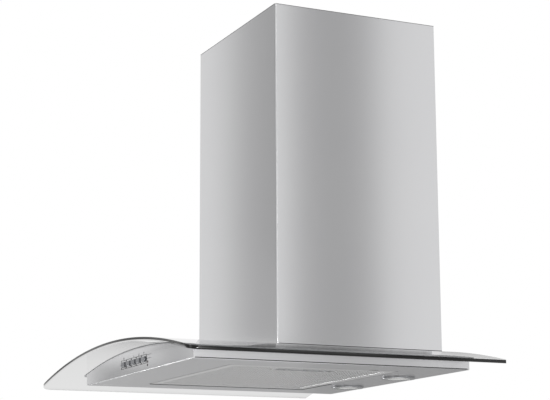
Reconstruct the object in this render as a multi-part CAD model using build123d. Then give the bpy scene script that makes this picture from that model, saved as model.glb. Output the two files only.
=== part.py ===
from build123d import *
import math
import os

# Wall-hung cooker hood with an arched glass canopy.
# Frame: the origin lies on the wall plane, at the middle of the hood's lower edge.
# +X runs along the wall, -Y runs out from the wall into the room and +Z is up.
# "out" is a distance from the wall, so y = -out. All sizes are in millimetres.

# ---- clearances ----
SEAT = 0.1  # between two faces that rest on each other along the arch
PLAY = 0.3  # round a piece that moves in its opening
SLIP = 0.5  # between the two chimney covers
PIN_PLAY = 0.05  # radial, round a shaft, pin or screw in its bore
CUT = 1.0  # how far a cutter goes past the face that it opens

# ---- sheet metal ----
SHEET = 1.0
BEND = 2.0  # outer radius of a folded chimney corner
EDGE_ROUND = 0.7  # rounding of the pan's lower edge

# ---- glass canopy ----
GLASS_WIDTH = 600.0
GLASS_DEPTH = 449.5
GLASS_THICK = 5.0
GLASS_RISE = 34.6  # of the middle of the glass, from its side edges to its crown
GLASS_CORNER = 14.0
GLASS_CHAMFER = 0.8
NOTCH_GAP = 13.0  # from the motor cabinet's wall to the glass
NOTCH_CORNER = 10.0
SEAL_THICK = 1.0
SEAL_WIDTH = 8.0
CLAMP_THICK = 1.2
CLAMP_REACH = 7.0  # over the glass
CLAMP_LENGTH = 200.0

# ---- hood body ----
BODY_WIDTH = 417.0
BODY_DEPTH = 407.0
LIP = 12.5  # how far the top plate stands out past the body's sides
PANEL_FOOT = 14.0  # folded edges of the front panel
WALL_HOLE_X = 170.0
WALL_HOLE_Z = 9.0
WALL_HOLE_R = 2.75

# ---- grease filter ----
FILTER_WIDTH = 300.0
FILTER_DEPTH = 250.0
FILTER_THICK = 9.0
FILTER_BACK = 79.4  # from the wall to the filter
FILTER_GAP = 1.5
FILTER_CHANNEL = 12.0
FILTER_CORNER = 3.0
CURB_HEIGHT = 10.0  # upturned edge round the filter opening
MESH_THICK = 0.8
MESH_COLUMNS = 14
MESH_ROWS = 10
MESH_STRAND = 2.2
CORE_THICK = 2.2
HOOK_LENGTH = 27.0
HOOK_REACH = 6.0
HOOK_THICK = 1.2
HOOK_INSET = 40.1  # from the filter's end to the middle of a hook
KEEPER_LENGTH = 15.0
KEEPER_WIDTH = 6.0

# ---- filter latch ----
TRAY_FROM_END = 36.0  # from the filter's latch end to the middle of the tray
TRAY_WIDTH = 22.0
TRAY_LENGTH = 89.0
TRAY_DEPTH = 7.0
TRAY_WALL = 0.8
PULL_THICK = 3.0
PULL_LENGTH = 78.0
PULL_HEIGHT = 5.0
TONGUE_WIDTH = 15.0
TONGUE_THICK = 2.0
LATCH_TRAVEL = 6.5  # takes the tongue's tip back to the filter's end

# ---- lamps ----
LAMP_X = 78.0
LAMP_OUT = 38.0
LAMP_R = 24.5
LAMP_DROP = 3.0  # how far the bezel stands out under the pan
LAMP_LENS_R = 18.0
LAMP_LENS_THICK = 2.0
LAMP_LENS_CROWN = 0.9
LAMP_CUP_HEIGHT = 17.0
LAMP_RIM = 3.5  # how far the housing rests on the pan round its hole
BEZEL_EDGE = 1.2  # rounding of the bezel's outer edge
BEZEL_LEDGE = 1.2  # radial width of the seat under the lens
BEZEL_FACE = 1.0  # thickness of that seat
BEZEL_NECK_R = 21.5  # of the neck that goes up through the pan
BEZEL_NECK = 3.0
CUP_SKIN = 1.0
CUP_STUB = 1.0  # how far the cup's stub stays inside the lens's edge

# ---- controls ----
BUTTON_NAMES = ("button_off", "button_speed_1", "button_speed_2", "button_speed_3", "button_light")
BUTTON_FIRST_X = -47.5
BUTTON_PITCH = 20.0
BUTTON_Z = 15.5
BUTTON_WIDTH = 14.0
BUTTON_HEIGHT = 7.0
BUTTON_CORNER = 1.5
BUTTON_PROUD = 2.2
BUTTON_TRAVEL = 2.5
BUTTON_FLANGE = 1.2
STEM_R = 2.2
STEM_LENGTH = 9.0
SWITCH_DEPTH = 20.0
SWITCH_HEIGHT = 16.0
SWITCH_WALL = 2.0
PILOT_R = 1.6
PILOT_X = 47.0
PILOT_Z = (11.0, 6.5)

# ---- motor cabinet ----
CABINET_WIDTH = 230.0
CABINET_DEPTH = 233.0
CABINET_TOP = 285.0
CABINET_FLANGE = 9.0
CABINET_SCREW_SHARES = (0.15, 0.5, 0.85)  # of the cabinet's depth
WALL_PLATE_WIDTH = 216.0
WALL_PLATE_HEIGHT = 40.0
WALL_PLATE_THICK = 2.0
WALL_PLATE_TOP = 272.0
HANGER_SPACING = 160.0
HANGER_R = 4.0

# ---- fan ----
FAN_SETBACK = 7.5  # of the shaft, from the cabinet's middle towards the wall
FAN_GAP_BELOW = 12.0  # from the top plate to the fan housing
SCROLL_R = 84.0  # first and smallest arc of the scroll
SCROLL_STEP = 8.0  # growth of each next quarter
SCROLL_HALF = 53.0
HOUSING_WALL = 2.0
TONGUE_Y = 46.0
SEAM_HEIGHT = 4.0
SEAM_HALF = 1.5
MOUTH_FLANGE = 9.0  # beside the mouth, for the screws
MOUTH_LIP = 6.0  # in front of the mouth and behind it
MOUTH_CORNER = 6.0
INLET_R = 58.0
INLET_BELL = 8.0  # radius of the bell mouth
INLET_FLANGE_R = 72.0
IMPELLER_R = 72.0
IMPELLER_HALF = 45.0
IMPELLER_RIM = 6.0  # width of its end rings
BLADE_INNER_R = 60.0
BLADE_COUNT = 32
BLADE_DEGREES = 1.3  # thickness, as an angle about the shaft
BLADE_SWEEP = 11.0  # degrees from the blade's root to its tip
BLADE_BELLY = 3.5  # degrees from its root to its middle
BLADE_BOW = 1.0  # of its middle, outwards
BLADE_INSET = 0.5  # of its tip, from the rings' edge
DISC_THICK = 2.0
HUB_R = 12.0
SHAFT_R = 4.0
SHAFT_COLLAR = 3.0  # radial and axial size of the collar on its free end
MOTOR_R = 38.0
MOTOR_START = 8.0
MOTOR_LENGTH = 50.0
SHAFT_IN_MOTOR = 12.0
MOTOR_STEP = 6.0  # length of each end bell
BELL_DROP = 5.0  # of its radius, from the motor's body
MOTOR_ROUND = 2.0
VENT_COUNT = 12
VENT_LENGTH = 9.0
VENT_WIDTH = 3.0
VENT_R = 24.0  # of the middle of a cooling slot
ARM_COUNT = 3
ARM_WIDTH = 12.0
ARM_THICK = 2.0
ARM_RING = 3.0  # how far the spider's ring stands past the motor's body
BUSH_R = 4.0
BUSH_LENGTH = 3.0

# ---- air outlet ----
COLLAR_R = 74.5  # outside, for a 150 mm duct
COLLAR_WALL = 2.0
COLLAR_HEIGHT = 42.0
ADAPTOR_RISE = 28.0  # from the square base to the round collar
ADAPTOR_BASE = 2.5
FLAP_THICK = 1.2
FLAP_PIN_R = 2.0
KNUCKLE_WALL = 2.0
KNUCKLE_SPLIT = 30.0  # half the length of the rear flap's knuckle
FLAP_LEDGE = 4.0
KNUCKLE_GAP = 2.0  # from the outer knuckles to the ledge

# ---- chimney ----
CHIMNEY_WIDTH = 275.0
CHIMNEY_DEPTH = 256.5
CHIMNEY_TOP = 510.8
CHIMNEY_RETURN = 12.0
UPPER_LENGTH = 380.0
UPPER_DROP = 2.0  # of the nested cover below the outer one's top edge
BRACKET_HEIGHT = 30.0
BRACKET_THICK = 1.5
BRACKET_EAR = 22.0
BRACKET_BELOW_TOP = 8.0
BRACKET_SCREW_OUT = 13.2  # from the root of the ear to its screw
BRACKET_SLOT_SPACING = 160.0
BRACKET_SLOT_LENGTH = 18.0
BRACKET_SLOT_R = 2.75
CLIP_HEIGHT = 20.0
CLIP_WIDTH = 40.0
CLIP_Z = 70.0

# ---- electrics and fasteners ----
TERMINAL_WIDTH = 35.0
TERMINAL_LENGTH = 110.0
TERMINAL_HEIGHT = 30.0
TERMINAL_ROUND = 1.5
TERMINAL_INSET = 15.2  # from the cabinet's back
GLAND_R = 8.0
GLAND_LENGTH = 12.0
GLAND_CORE_R = 6.0
GLAND_BORE_R = 4.0
CAPACITOR_R = 15.0
CAPACITOR_HEIGHT = 58.0
CAPACITOR_ROUND = 2.0
CAPACITOR_OUT = 60.25
CUP_WALL = 2.0
CUP_HEIGHT = 8.0
DRIVER_LENGTH = 70.0
DRIVER_WIDTH = 34.0
DRIVER_HEIGHT = 11.0
DRIVER_CORNER = 2.0
SCREW_R = 2.0
SCREW_HEAD_R = 3.8
SCREW_HEAD = 2.0
SCREW_TAIL = 3.0  # past the last sheet that it goes through

# ---- worked out from the sizes above ----
GLASS_HALF = GLASS_WIDTH / 2
BODY_HALF = BODY_WIDTH / 2
CABINET_HALF = CABINET_WIDTH / 2
CHIMNEY_HALF = CHIMNEY_WIDTH / 2
FILTER_HALF = FILTER_WIDTH / 2
TRAY_CENTRE_X = FILTER_HALF - TRAY_FROM_END

MID_RADIUS = (GLASS_HALF**2 + GLASS_RISE**2) / (2 * GLASS_RISE)
UNDER_RADIUS = MID_RADIUS - GLASS_THICK / 2
ARCH_CENTRE_Z = GLASS_THICK / 2 + GLASS_RISE - MID_RADIUS

# levels measured from the underside of the glass
SEAL_TOP = -SEAT
SEAL_BOTTOM = SEAL_TOP - SEAL_THICK
PLATE_TOP = SEAL_BOTTOM - SEAT
PLATE_BOTTOM = PLATE_TOP - SHEET
WALL_TOP = PLATE_BOTTOM - SEAT
FLANGE_BOTTOM = PLATE_TOP + SEAT
FLANGE_TOP = FLANGE_BOTTOM + SHEET

CABINET_BACK = WALL_PLATE_THICK
CABINET_FRONT = CABINET_BACK + CABINET_DEPTH
FAN_OUT = (CABINET_BACK + CABINET_FRONT) / 2 - FAN_SETBACK
NOTCH_HALF = CABINET_HALF + NOTCH_GAP
NOTCH_DEPTH = CABINET_FRONT + NOTCH_GAP

FILTER_FRONT = FILTER_BACK + FILTER_DEPTH
FILTER_MID = (FILTER_BACK + FILTER_FRONT) / 2
OPENING_HALF = FILTER_HALF + FILTER_GAP
OPENING_BACK = FILTER_BACK - FILTER_GAP
OPENING_FRONT = FILTER_FRONT + FILTER_GAP
HOOK_OUTS = (FILTER_BACK + HOOK_INSET, FILTER_FRONT - HOOK_INSET)
HOOK_Z = SHEET + PLAY
TONGUE_Z = SHEET + MESH_THICK + PLAY

PANEL_BACK = BODY_DEPTH - SHEET
SWITCH_FRONT = PANEL_BACK - BUTTON_FLANGE - BUTTON_TRAVEL - 2 * PLAY
BUTTON_XS = tuple(BUTTON_FIRST_X + i * BUTTON_PITCH for i in range(len(BUTTON_NAMES)))
LAMP_CENTRES = ((-LAMP_X, LAMP_OUT), (LAMP_X, LAMP_OUT))

HOUSING_HALF = SCROLL_HALF + HOUSING_WALL
SCROLL_HALF_STEP = SCROLL_STEP / 2
SCROLL_LOWEST = SCROLL_HALF_STEP + SCROLL_R + SCROLL_STEP + HOUSING_WALL
MOUTH_LOW_Y = -SCROLL_HALF_STEP - SCROLL_R - 2 * SCROLL_STEP
MOUTH_MID_Y = (MOUTH_LOW_Y + TONGUE_Y) / 2
MOUTH_LENGTH = TONGUE_Y - MOUTH_LOW_Y
COLLAR_OUT = FAN_OUT - MOUTH_MID_Y
COLLAR_BASE_Z = CABINET_TOP + ADAPTOR_BASE + ADAPTOR_RISE
COLLAR_TOP_Z = COLLAR_BASE_Z + COLLAR_HEIGHT
FLAP_Z = COLLAR_BASE_Z + COLLAR_HEIGHT / 3
COLLAR_BORE = COLLAR_R - COLLAR_WALL
ADAPTOR_SCREWS = tuple(
    (sx * (SCROLL_HALF + MOUTH_FLANGE / 2 + HOUSING_WALL), COLLAR_OUT + so * MOUTH_LENGTH / 3)
    for sx in (-1, 1)
    for so in (-1, 1)
)

TERMINAL_OUT = CABINET_BACK + TERMINAL_INSET
GLAND_X = CABINET_HALF - SHEET - TERMINAL_WIDTH / 2
GLAND_Z = CABINET_TOP + TERMINAL_HEIGHT / 2

UPPER_HALF = CHIMNEY_HALF - SHEET - SLIP
UPPER_BACK = SHEET + SLIP
UPPER_FRONT = CHIMNEY_DEPTH - SHEET - SLIP
UPPER_TOP = CHIMNEY_TOP - UPPER_DROP
UPPER_BEND = BEND - SHEET


def arch_z(x, above=0.0):
    """Height at x of a curve parallel to the underside of the glass."""
    return ARCH_CENTRE_Z + math.sqrt((UNDER_RADIUS + above) ** 2 - x * x)


FAN_Z = arch_z(0, PLATE_TOP) + FAN_GAP_BELOW + SCROLL_LOWEST
CABINET_SCREWS = tuple(
    (sx * (CABINET_HALF + CABINET_FLANGE / 2), CABINET_BACK + CABINET_DEPTH * share)
    for sx in (-1, 1)
    for share in CABINET_SCREW_SHARES
)


def block(x0, x1, out0, out1, z0, z1):
    """Box between two x values, two distances from the wall and two heights."""
    centre = Pos((x0 + x1) / 2, -(out0 + out1) / 2, (z0 + z1) / 2)
    return centre * Box(x1 - x0, out1 - out0, z1 - z0)


def rod(x, out, z0, z1, radius):
    """Upright cylinder between two heights."""
    return Pos(x, -out, (z0 + z1) / 2) * Cylinder(radius, z1 - z0)


def rod_along_x(x0, x1, out, z, radius):
    """Cylinder along X between two x values."""
    return Pos((x0 + x1) / 2, -out, z) * Rot(0, 90, 0) * Cylinder(radius, x1 - x0)


def rod_along_y(x, out0, out1, z, radius):
    """Cylinder along Y between two distances from the wall."""
    return Pos(x, -(out0 + out1) / 2, z) * Rot(90, 0, 0) * Cylinder(radius, out1 - out0)


def arch_curve(half_width, above):
    """Arc parallel to the underside of the glass, drawn in the XY plane."""
    side = arch_z(half_width, above)
    return ThreePointArc((-half_width, side), (0, arch_z(0, above)), (half_width, side))


def along_wall(face, out0, out1):
    """Face drawn in the XY plane, stood up parallel to the wall and given depth."""
    return extrude(Plane.XZ.offset(out0) * face, amount=out1 - out0, dir=(0, -1, 0))


def arch_slab(half_width, low, high, out0, out1):
    """Sheet parallel to the glass, from one level to another above its underside."""
    bottom = arch_curve(half_width, low)
    top = arch_curve(half_width, high)
    face = make_face([bottom, top, Line(bottom @ 0, top @ 0), Line(bottom @ 1, top @ 1)])
    return along_wall(face, out0, out1)


def under_arch(half_width, z0, level, out0, out1):
    """Solid with a flat bottom and a top parallel to the glass."""
    top = arch_curve(half_width, level)
    base = Polyline(top @ 0, (-half_width, z0), (half_width, z0), top @ 1)
    return along_wall(make_face([top, base]), out0, out1)


def mirrored(solid):
    """The same solid on the other side of the hood's middle plane."""
    return mirror(solid, Plane.YZ)


def screw(x, out, z0, z1):
    """Pan-head screw whose head rests at z1."""
    return rod(x, out, z0, z1, SCREW_R) + rod(x, out, z1, z1 + SCREW_HEAD, SCREW_HEAD_R)


def screw_bores(points, z0, z1):
    """Clearance holes for upright screws."""
    return [rod(x, out, z0, z1, SCREW_R + PIN_PLAY) for x, out in points]


# ---- casing ----


def notch_tool(half, depth, corner):
    """Upright cutter, open to the wall, with rounded front corners."""
    tool = block(-half, half, -CUT, depth, -GLASS_THICK, GLASS_RISE + 3 * GLASS_THICK)
    front = tool.edges().filter_by(Axis.Z).sort_by(Axis.Y)[:2]
    return fillet(front, corner)


def glass_canopy():
    """Arched glass sheet with a notch at the wall for the motor cabinet."""
    sheet = arch_slab(GLASS_HALF, 0, GLASS_THICK, 0, GLASS_DEPTH)
    corners = sheet.edges().filter_by(Axis.Z).sort_by(Axis.Y)[:2]
    sheet = fillet(corners, GLASS_CORNER)
    curved = sheet.faces().filter_by(GeomType.CYLINDER).sort_by(SortBy.AREA)[-2:]
    rim = [edge for face in curved for edge in face.edges()]
    sheet = chamfer(rim, GLASS_CHAMFER)
    return sheet - notch_tool(NOTCH_HALF, NOTCH_DEPTH, NOTCH_CORNER)


def glass_seal():
    """Rubber strip round the body's top edge and round the notch."""
    half = BODY_HALF + LIP
    outer = arch_slab(half, SEAL_BOTTOM, SEAL_TOP, 0, BODY_DEPTH)
    inner_half = half - SEAL_WIDTH
    outer -= arch_slab(
        inner_half, SEAL_BOTTOM - CUT, SEAL_TOP + CUT, SEAL_WIDTH, BODY_DEPTH - SEAL_WIDTH
    )
    collar = arch_slab(
        NOTCH_HALF + SEAL_WIDTH, SEAL_BOTTOM, SEAL_TOP, 0, NOTCH_DEPTH + SEAL_WIDTH
    )
    return outer + collar - notch_tool(NOTCH_HALF, NOTCH_DEPTH, NOTCH_CORNER)


def top_plate():
    """Curved plate that closes the body and carries the glass and the cabinet."""
    plate = arch_slab(BODY_HALF + LIP, PLATE_BOTTOM, PLATE_TOP, 0, BODY_DEPTH)
    plate -= block(
        -CABINET_HALF + SHEET,
        CABINET_HALF - SHEET,
        CABINET_BACK + SHEET,
        CABINET_FRONT - SHEET,
        0,
        CABINET_TOP,
    )
    return plate - screw_bores(CABINET_SCREWS, 0, CABINET_TOP)


def filter_opening(out_grow, z0, z1):
    """Block as large as the filter opening, grown on every side."""
    return block(
        -OPENING_HALF - out_grow,
        OPENING_HALF + out_grow,
        OPENING_BACK - out_grow,
        OPENING_FRONT + out_grow,
        z0,
        z1,
    )


def hood_pan():
    """Underside, side walls and back wall of the body, folded from one sheet."""
    walls = under_arch(BODY_HALF, 0, WALL_TOP, 0, PANEL_BACK)
    walls -= under_arch(BODY_HALF - SHEET, -CUT, WALL_TOP + CUT, SHEET, BODY_DEPTH)
    floor = block(-BODY_HALF, BODY_HALF, 0, BODY_DEPTH, 0, SHEET)
    pan = walls + floor
    low = pan.faces().sort_by(Axis.Z)[0]
    rim = [e for e in low.edges() if abs(e.center().Y) > EDGE_ROUND]
    pan = fillet(rim, EDGE_ROUND)
    pan += filter_opening(SHEET, SHEET / 2, CURB_HEIGHT)
    pan -= filter_opening(0, -CUT, CURB_HEIGHT + CUT)
    inner = OPENING_HALF - CUT
    reach = OPENING_HALF + SHEET + CUT
    top = CURB_HEIGHT + CUT
    for out in HOOK_OUTS:
        half = HOOK_LENGTH / 2 + PLAY
        pan -= block(-reach, -inner, out - half, out + half, SHEET, top)
    half = TONGUE_WIDTH / 2 + PLAY
    pan -= block(inner, reach, FILTER_MID - half, FILTER_MID + half, SHEET, top)
    keeper_out = HOOK_OUTS[0]
    keeper = block(
        inner,
        OPENING_HALF + KEEPER_WIDTH,
        keeper_out - KEEPER_LENGTH / 2,
        keeper_out + KEEPER_LENGTH / 2,
        -CUT,
        SHEET,
    )
    pan -= [keeper, mirrored(keeper)]
    through = (-CUT, SHEET + CUT)
    pan -= [rod(x, out, *through, BEZEL_NECK_R + PLAY) for x, out in LAMP_CENTRES]
    return pan - [
        rod_along_y(sx * WALL_HOLE_X, *through, WALL_HOLE_Z, WALL_HOLE_R) for sx in (-1, 1)
    ]


def front_panel():
    """Control panel whose upper edge follows the glass."""
    panel = under_arch(BODY_HALF, SHEET, WALL_TOP, PANEL_BACK, BODY_DEPTH)
    inside = BODY_HALF - SHEET - PLAY
    folds_from = BODY_DEPTH - PANEL_FOOT
    panel += block(-inside, inside, folds_from, PANEL_BACK, SHEET, 2 * SHEET)
    panel += arch_slab(inside, WALL_TOP - SHEET, WALL_TOP, folds_from, PANEL_BACK)
    hole = RectangleRounded(
        BUTTON_WIDTH + 2 * PLAY, BUTTON_HEIGHT + 2 * PLAY, BUTTON_CORNER + PLAY
    )
    through = (PANEL_BACK - CUT, BODY_DEPTH + CUT)
    for x in BUTTON_XS:
        panel -= along_wall(Pos(x, BUTTON_Z) * hole, *through)
    for z in PILOT_Z:
        panel -= rod_along_y(PILOT_X, *through, z, PILOT_R + PIN_PLAY)
    return panel


def motor_cabinet():
    """Sheet-steel box that carries the fan and seals it to the body."""
    box = block(-CABINET_HALF, CABINET_HALF, CABINET_BACK, CABINET_FRONT, 0, CABINET_TOP)
    upright = box.edges().filter_by(Axis.Z)
    box = fillet(upright, BEND)
    box -= under_arch(
        CABINET_HALF + CUT, -CUT, FLANGE_BOTTOM, CABINET_BACK - CUT, CABINET_FRONT + CUT
    )
    flange_back = 2 * PLAY
    box += arch_slab(
        CABINET_HALF + CABINET_FLANGE,
        FLANGE_BOTTOM,
        FLANGE_TOP,
        flange_back,
        CABINET_FRONT + CABINET_FLANGE,
    )
    box -= block(
        -CABINET_HALF + SHEET,
        CABINET_HALF - SHEET,
        CABINET_BACK + SHEET,
        CABINET_FRONT - SHEET,
        0,
        CABINET_TOP - SHEET,
    )
    box -= block(
        -SCROLL_HALF,
        SCROLL_HALF,
        COLLAR_OUT - MOUTH_LENGTH / 2,
        COLLAR_OUT + MOUTH_LENGTH / 2,
        CABINET_TOP - SHEET - CUT,
        CABINET_TOP + CUT,
    )
    box -= screw_bores(ADAPTOR_SCREWS, CABINET_TOP - SHEET - CUT, CABINET_TOP + CUT)
    box -= screw_bores(CABINET_SCREWS, 0, CABINET_TOP / 2)
    back = (CABINET_BACK - CUT, CABINET_BACK + SHEET + CUT)
    for sx in (-1, 1):
        box -= rod_along_y(sx * HANGER_SPACING / 2, *back, hanger_z(), 2 * HANGER_R)
        box -= rod_along_y(sx * HANGER_SPACING / 4, *back, hanger_z(), SCREW_R + PIN_PLAY)
    return box


def hanger_z():
    """Height of the wall plate's middle line."""
    return WALL_PLATE_TOP - WALL_PLATE_HEIGHT / 2


def wall_plate():
    """Thick steel plate with the two holes that the hood hangs by."""
    half = WALL_PLATE_WIDTH / 2
    low = WALL_PLATE_TOP - WALL_PLATE_HEIGHT
    plate = block(-half, half, 0, WALL_PLATE_THICK, low, WALL_PLATE_TOP)
    plate = fillet(plate.edges().filter_by(Axis.Y), HANGER_R)
    through = (-CUT, WALL_PLATE_THICK + CUT)
    for sx in (-1, 1):
        plate -= rod_along_y(sx * HANGER_SPACING / 2, *through, hanger_z(), HANGER_R)
        plate -= rod_along_y(sx * HANGER_SPACING / 4, *through, hanger_z(), SCREW_R + PIN_PLAY)
    return plate


def wall_rivets():
    """Rivets through the wall plate and the back of the cabinet."""
    inner = CABINET_BACK + SHEET
    rivets = []
    for sx in (-1, 1):
        x = sx * HANGER_SPACING / 4
        shank = rod_along_y(x, PLAY, inner, hanger_z(), SCREW_R)
        rivets.append(shank + rod_along_y(x, inner, inner + SCREW_HEAD / 2, hanger_z(), SCREW_HEAD_R))
    return rivets


def glass_clamps():
    """Stepped strips, screwed to the cabinet's flange, that hold the glass down."""
    inner = CABINET_HALF + SHEET
    web = NOTCH_HALF - 2 * PLAY - CLAMP_THICK
    outer = NOTCH_HALF + CLAMP_REACH
    out0 = (CABINET_BACK + CABINET_FRONT - CLAMP_LENGTH) / 2
    out1 = out0 + CLAMP_LENGTH
    foot_low = FLANGE_TOP + SEAT
    head_low = GLASS_THICK + SEAT
    length = (out0 - CUT, out1 + CUT)
    left = -outer - CUT
    right = outer + CUT
    foot = arch_slab(outer, foot_low, foot_low + CLAMP_THICK, out0, out1)
    foot -= block(left, inner, *length, 0, CABINET_TOP)
    foot -= block(web + CLAMP_THICK, right, *length, 0, CABINET_TOP)
    head = arch_slab(outer, head_low, head_low + CLAMP_THICK, out0, out1)
    head -= block(left, web, *length, 0, CABINET_TOP)
    rise = arch_slab(outer, foot_low, head_low + CLAMP_THICK, out0, out1)
    rise -= block(left, web, *length, 0, CABINET_TOP)
    rise -= block(web + CLAMP_THICK, right, *length, 0, CABINET_TOP)
    clamp = foot + head + rise
    clamp -= screw_bores(CABINET_SCREWS, 0, CABINET_TOP)
    return [clamp, mirrored(clamp)]


def cabinet_screws():
    """Screws through clamp, flange and top plate."""
    seat = FLANGE_TOP + SEAT + CLAMP_THICK
    screws = []
    for x, out in CABINET_SCREWS:
        head_z = arch_z(abs(x) - SCREW_HEAD_R, seat)
        screws.append(screw(x, out, arch_z(x, PLATE_BOTTOM) - SHEET, head_z))
    return screws


# ---- fan ----


def scroll_face(grow):
    """Scroll outline about the shaft, in quarter arcs that widen towards the mouth."""
    step = SCROLL_HALF_STEP
    top = CABINET_TOP - SHEET - FAN_Z
    radii = [SCROLL_R + i * SCROLL_STEP + grow for i in range(3)]
    centres = [(step, -step), (-step, -step), (-step, step)]
    tongue_y = TONGUE_Y + grow
    start = math.degrees(math.acos((tongue_y - centres[0][0]) / radii[0]))
    arcs = [CenterArc(centres[0], radii[0], start, -start)]
    arcs += [CenterArc(centres[i], radii[i], -90 * (i - 1), -90) for i in (1, 2)]
    walls = Polyline(arcs[-1] @ 1, (MOUTH_LOW_Y - grow, top), (tongue_y, top), arcs[0] @ 0)
    return make_face(arcs + [walls])


def about_shaft(face, x0, x1):
    """Face drawn about the origin, set across the fan shaft and given width."""
    plane = Plane(origin=(x0, -FAN_OUT, FAN_Z), x_dir=(0, 1, 0), z_dir=(1, 0, 0))
    return extrude(plane * face, amount=x1 - x0, dir=(1, 0, 0))


def fan_housing():
    """Whole scroll housing, before it is split at its seam."""
    shell = about_shaft(scroll_face(HOUSING_WALL), -HOUSING_HALF, HOUSING_HALF)
    shell += about_shaft(scroll_face(HOUSING_WALL + SEAM_HEIGHT), -SEAM_HALF, SEAM_HALF)
    top = CABINET_TOP - SHEET
    half_length = MOUTH_LENGTH / 2 + MOUTH_LIP
    shell += block(
        -SCROLL_HALF - MOUTH_FLANGE - HOUSING_WALL,
        SCROLL_HALF + MOUTH_FLANGE + HOUSING_WALL,
        COLLAR_OUT - half_length,
        COLLAR_OUT + half_length,
        top - HOUSING_WALL,
        top,
    )
    shell -= about_shaft(scroll_face(0), -SCROLL_HALF, SCROLL_HALF)
    side = HOUSING_HALF + CUT
    shell -= rod_along_x(-side, side, FAN_OUT, FAN_Z, INLET_R + INLET_BELL)
    return shell - screw_bores(ADAPTOR_SCREWS, top - HOUSING_WALL - CUT, top + CUT)


def housing_halves():
    """Left and right half of the housing, which meet at the seam."""
    shell = fan_housing()
    reach = 2 * SCROLL_R
    side = about_shaft(Rectangle(2 * reach, 2 * reach), 0, HOUSING_HALF + MOUTH_FLANGE)
    return shell - side, shell & side


def inlet_rings():
    """Bell-mouth rings that lead the air into the impeller from both sides."""
    face_x = HOUSING_HALF
    front_x = face_x + HOUSING_WALL
    lip_x = front_x - INLET_BELL
    centre = (lip_x, INLET_R + INLET_BELL)
    inner = CenterArc(centre, INLET_BELL, -90, 90)
    outer = CenterArc(centre, INLET_BELL - HOUSING_WALL, -90, 90)
    flange = Polyline(
        inner @ 1, (front_x, INLET_FLANGE_R), (face_x, INLET_FLANGE_R), outer @ 1
    )
    face = make_face([inner, outer, flange, Line(inner @ 0, outer @ 0)])
    plane = Plane(origin=(0, -FAN_OUT, FAN_Z), x_dir=(1, 0, 0), z_dir=(0, -1, 0))
    axis = Axis((0, -FAN_OUT, FAN_Z), (1, 0, 0))
    ring = revolve(plane * face, axis)
    return [ring, mirrored(ring)]


def polar(radius, degrees):
    """Point at a radius and an angle about the origin."""
    turn = math.radians(degrees)
    return (radius * math.cos(turn), radius * math.sin(turn))


def blade_face():
    """Section of one forward-curved blade."""
    outer_r = IMPELLER_R - BLADE_INSET
    middle_r = (BLADE_INNER_R + outer_r) / 2 + BLADE_BOW
    sides = [
        ThreePointArc(
            polar(BLADE_INNER_R, lead),
            polar(middle_r, lead + BLADE_BELLY),
            polar(outer_r, lead + BLADE_SWEEP),
        )
        for lead in (0, BLADE_DEGREES)
    ]
    ends = [Line(sides[0] @ end, sides[1] @ end) for end in (0, 1)]
    return make_face(sides + ends)


def impeller():
    """Double-inlet squirrel-cage impeller on a middle disc."""
    half = IMPELLER_HALF
    disc = about_shaft(Circle(IMPELLER_R - 2 * BLADE_INSET), -DISC_THICK / 2, DISC_THICK / 2)
    hub = about_shaft(Circle(HUB_R), -3 * DISC_THICK, 2 * DISC_THICK)
    ring = Circle(IMPELLER_R) - Circle(IMPELLER_R - IMPELLER_RIM)
    rings = [about_shaft(ring, x, x + DISC_THICK) for x in (-half, half - DISC_THICK)]
    blade = blade_face()
    turn = 360 / BLADE_COUNT
    end = half - DISC_THICK / 2
    blades = [about_shaft(Rot(0, 0, i * turn) * blade, -end, end) for i in range(BLADE_COUNT)]
    wheel = disc + [hub] + rings + blades
    bore = rod_along_x(-half, half, FAN_OUT, FAN_Z, SHAFT_R + PIN_PLAY)
    return wheel - bore


def motor_shaft():
    """Shaft from the impeller's hub into the motor, with a collar on its free end."""
    start = -3 * DISC_THICK
    end = start - SHAFT_COLLAR
    shaft = rod_along_x(end, MOTOR_START + SHAFT_IN_MOTOR, FAN_OUT, FAN_Z, SHAFT_R)
    return shaft + rod_along_x(end, start, FAN_OUT, FAN_Z, SHAFT_R + SHAFT_COLLAR)


def motor():
    """Motor in the eye of the impeller, with stepped end bells and cooling slots."""
    end = MOTOR_START + MOTOR_LENGTH
    body = rod_along_x(MOTOR_START + MOTOR_STEP, end - MOTOR_STEP, FAN_OUT, FAN_Z, MOTOR_R)
    bells = rod_along_x(MOTOR_START, end, FAN_OUT, FAN_Z, MOTOR_R - BELL_DROP)
    nose = rod_along_x(end, end + MOTOR_STEP, FAN_OUT, FAN_Z, HUB_R)
    casing = body + bells + nose
    rims = casing.edges().filter_by(GeomType.CIRCLE).group_by(SortBy.RADIUS)[-1]
    casing = fillet(rims, MOTOR_ROUND)
    slot = Pos(VENT_R, 0) * SlotOverall(VENT_LENGTH, VENT_WIDTH)
    for i in range(VENT_COUNT):
        turned = Rot(0, 0, i * 360 / VENT_COUNT) * slot
        casing -= about_shaft(turned, MOTOR_START - CUT, MOTOR_START + MOTOR_STEP)
    bore = SHAFT_IN_MOTOR + 2 * PLAY
    return casing - rod_along_x(
        MOTOR_START - CUT, MOTOR_START + bore, FAN_OUT, FAN_Z, SHAFT_R + PIN_PLAY
    )


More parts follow.
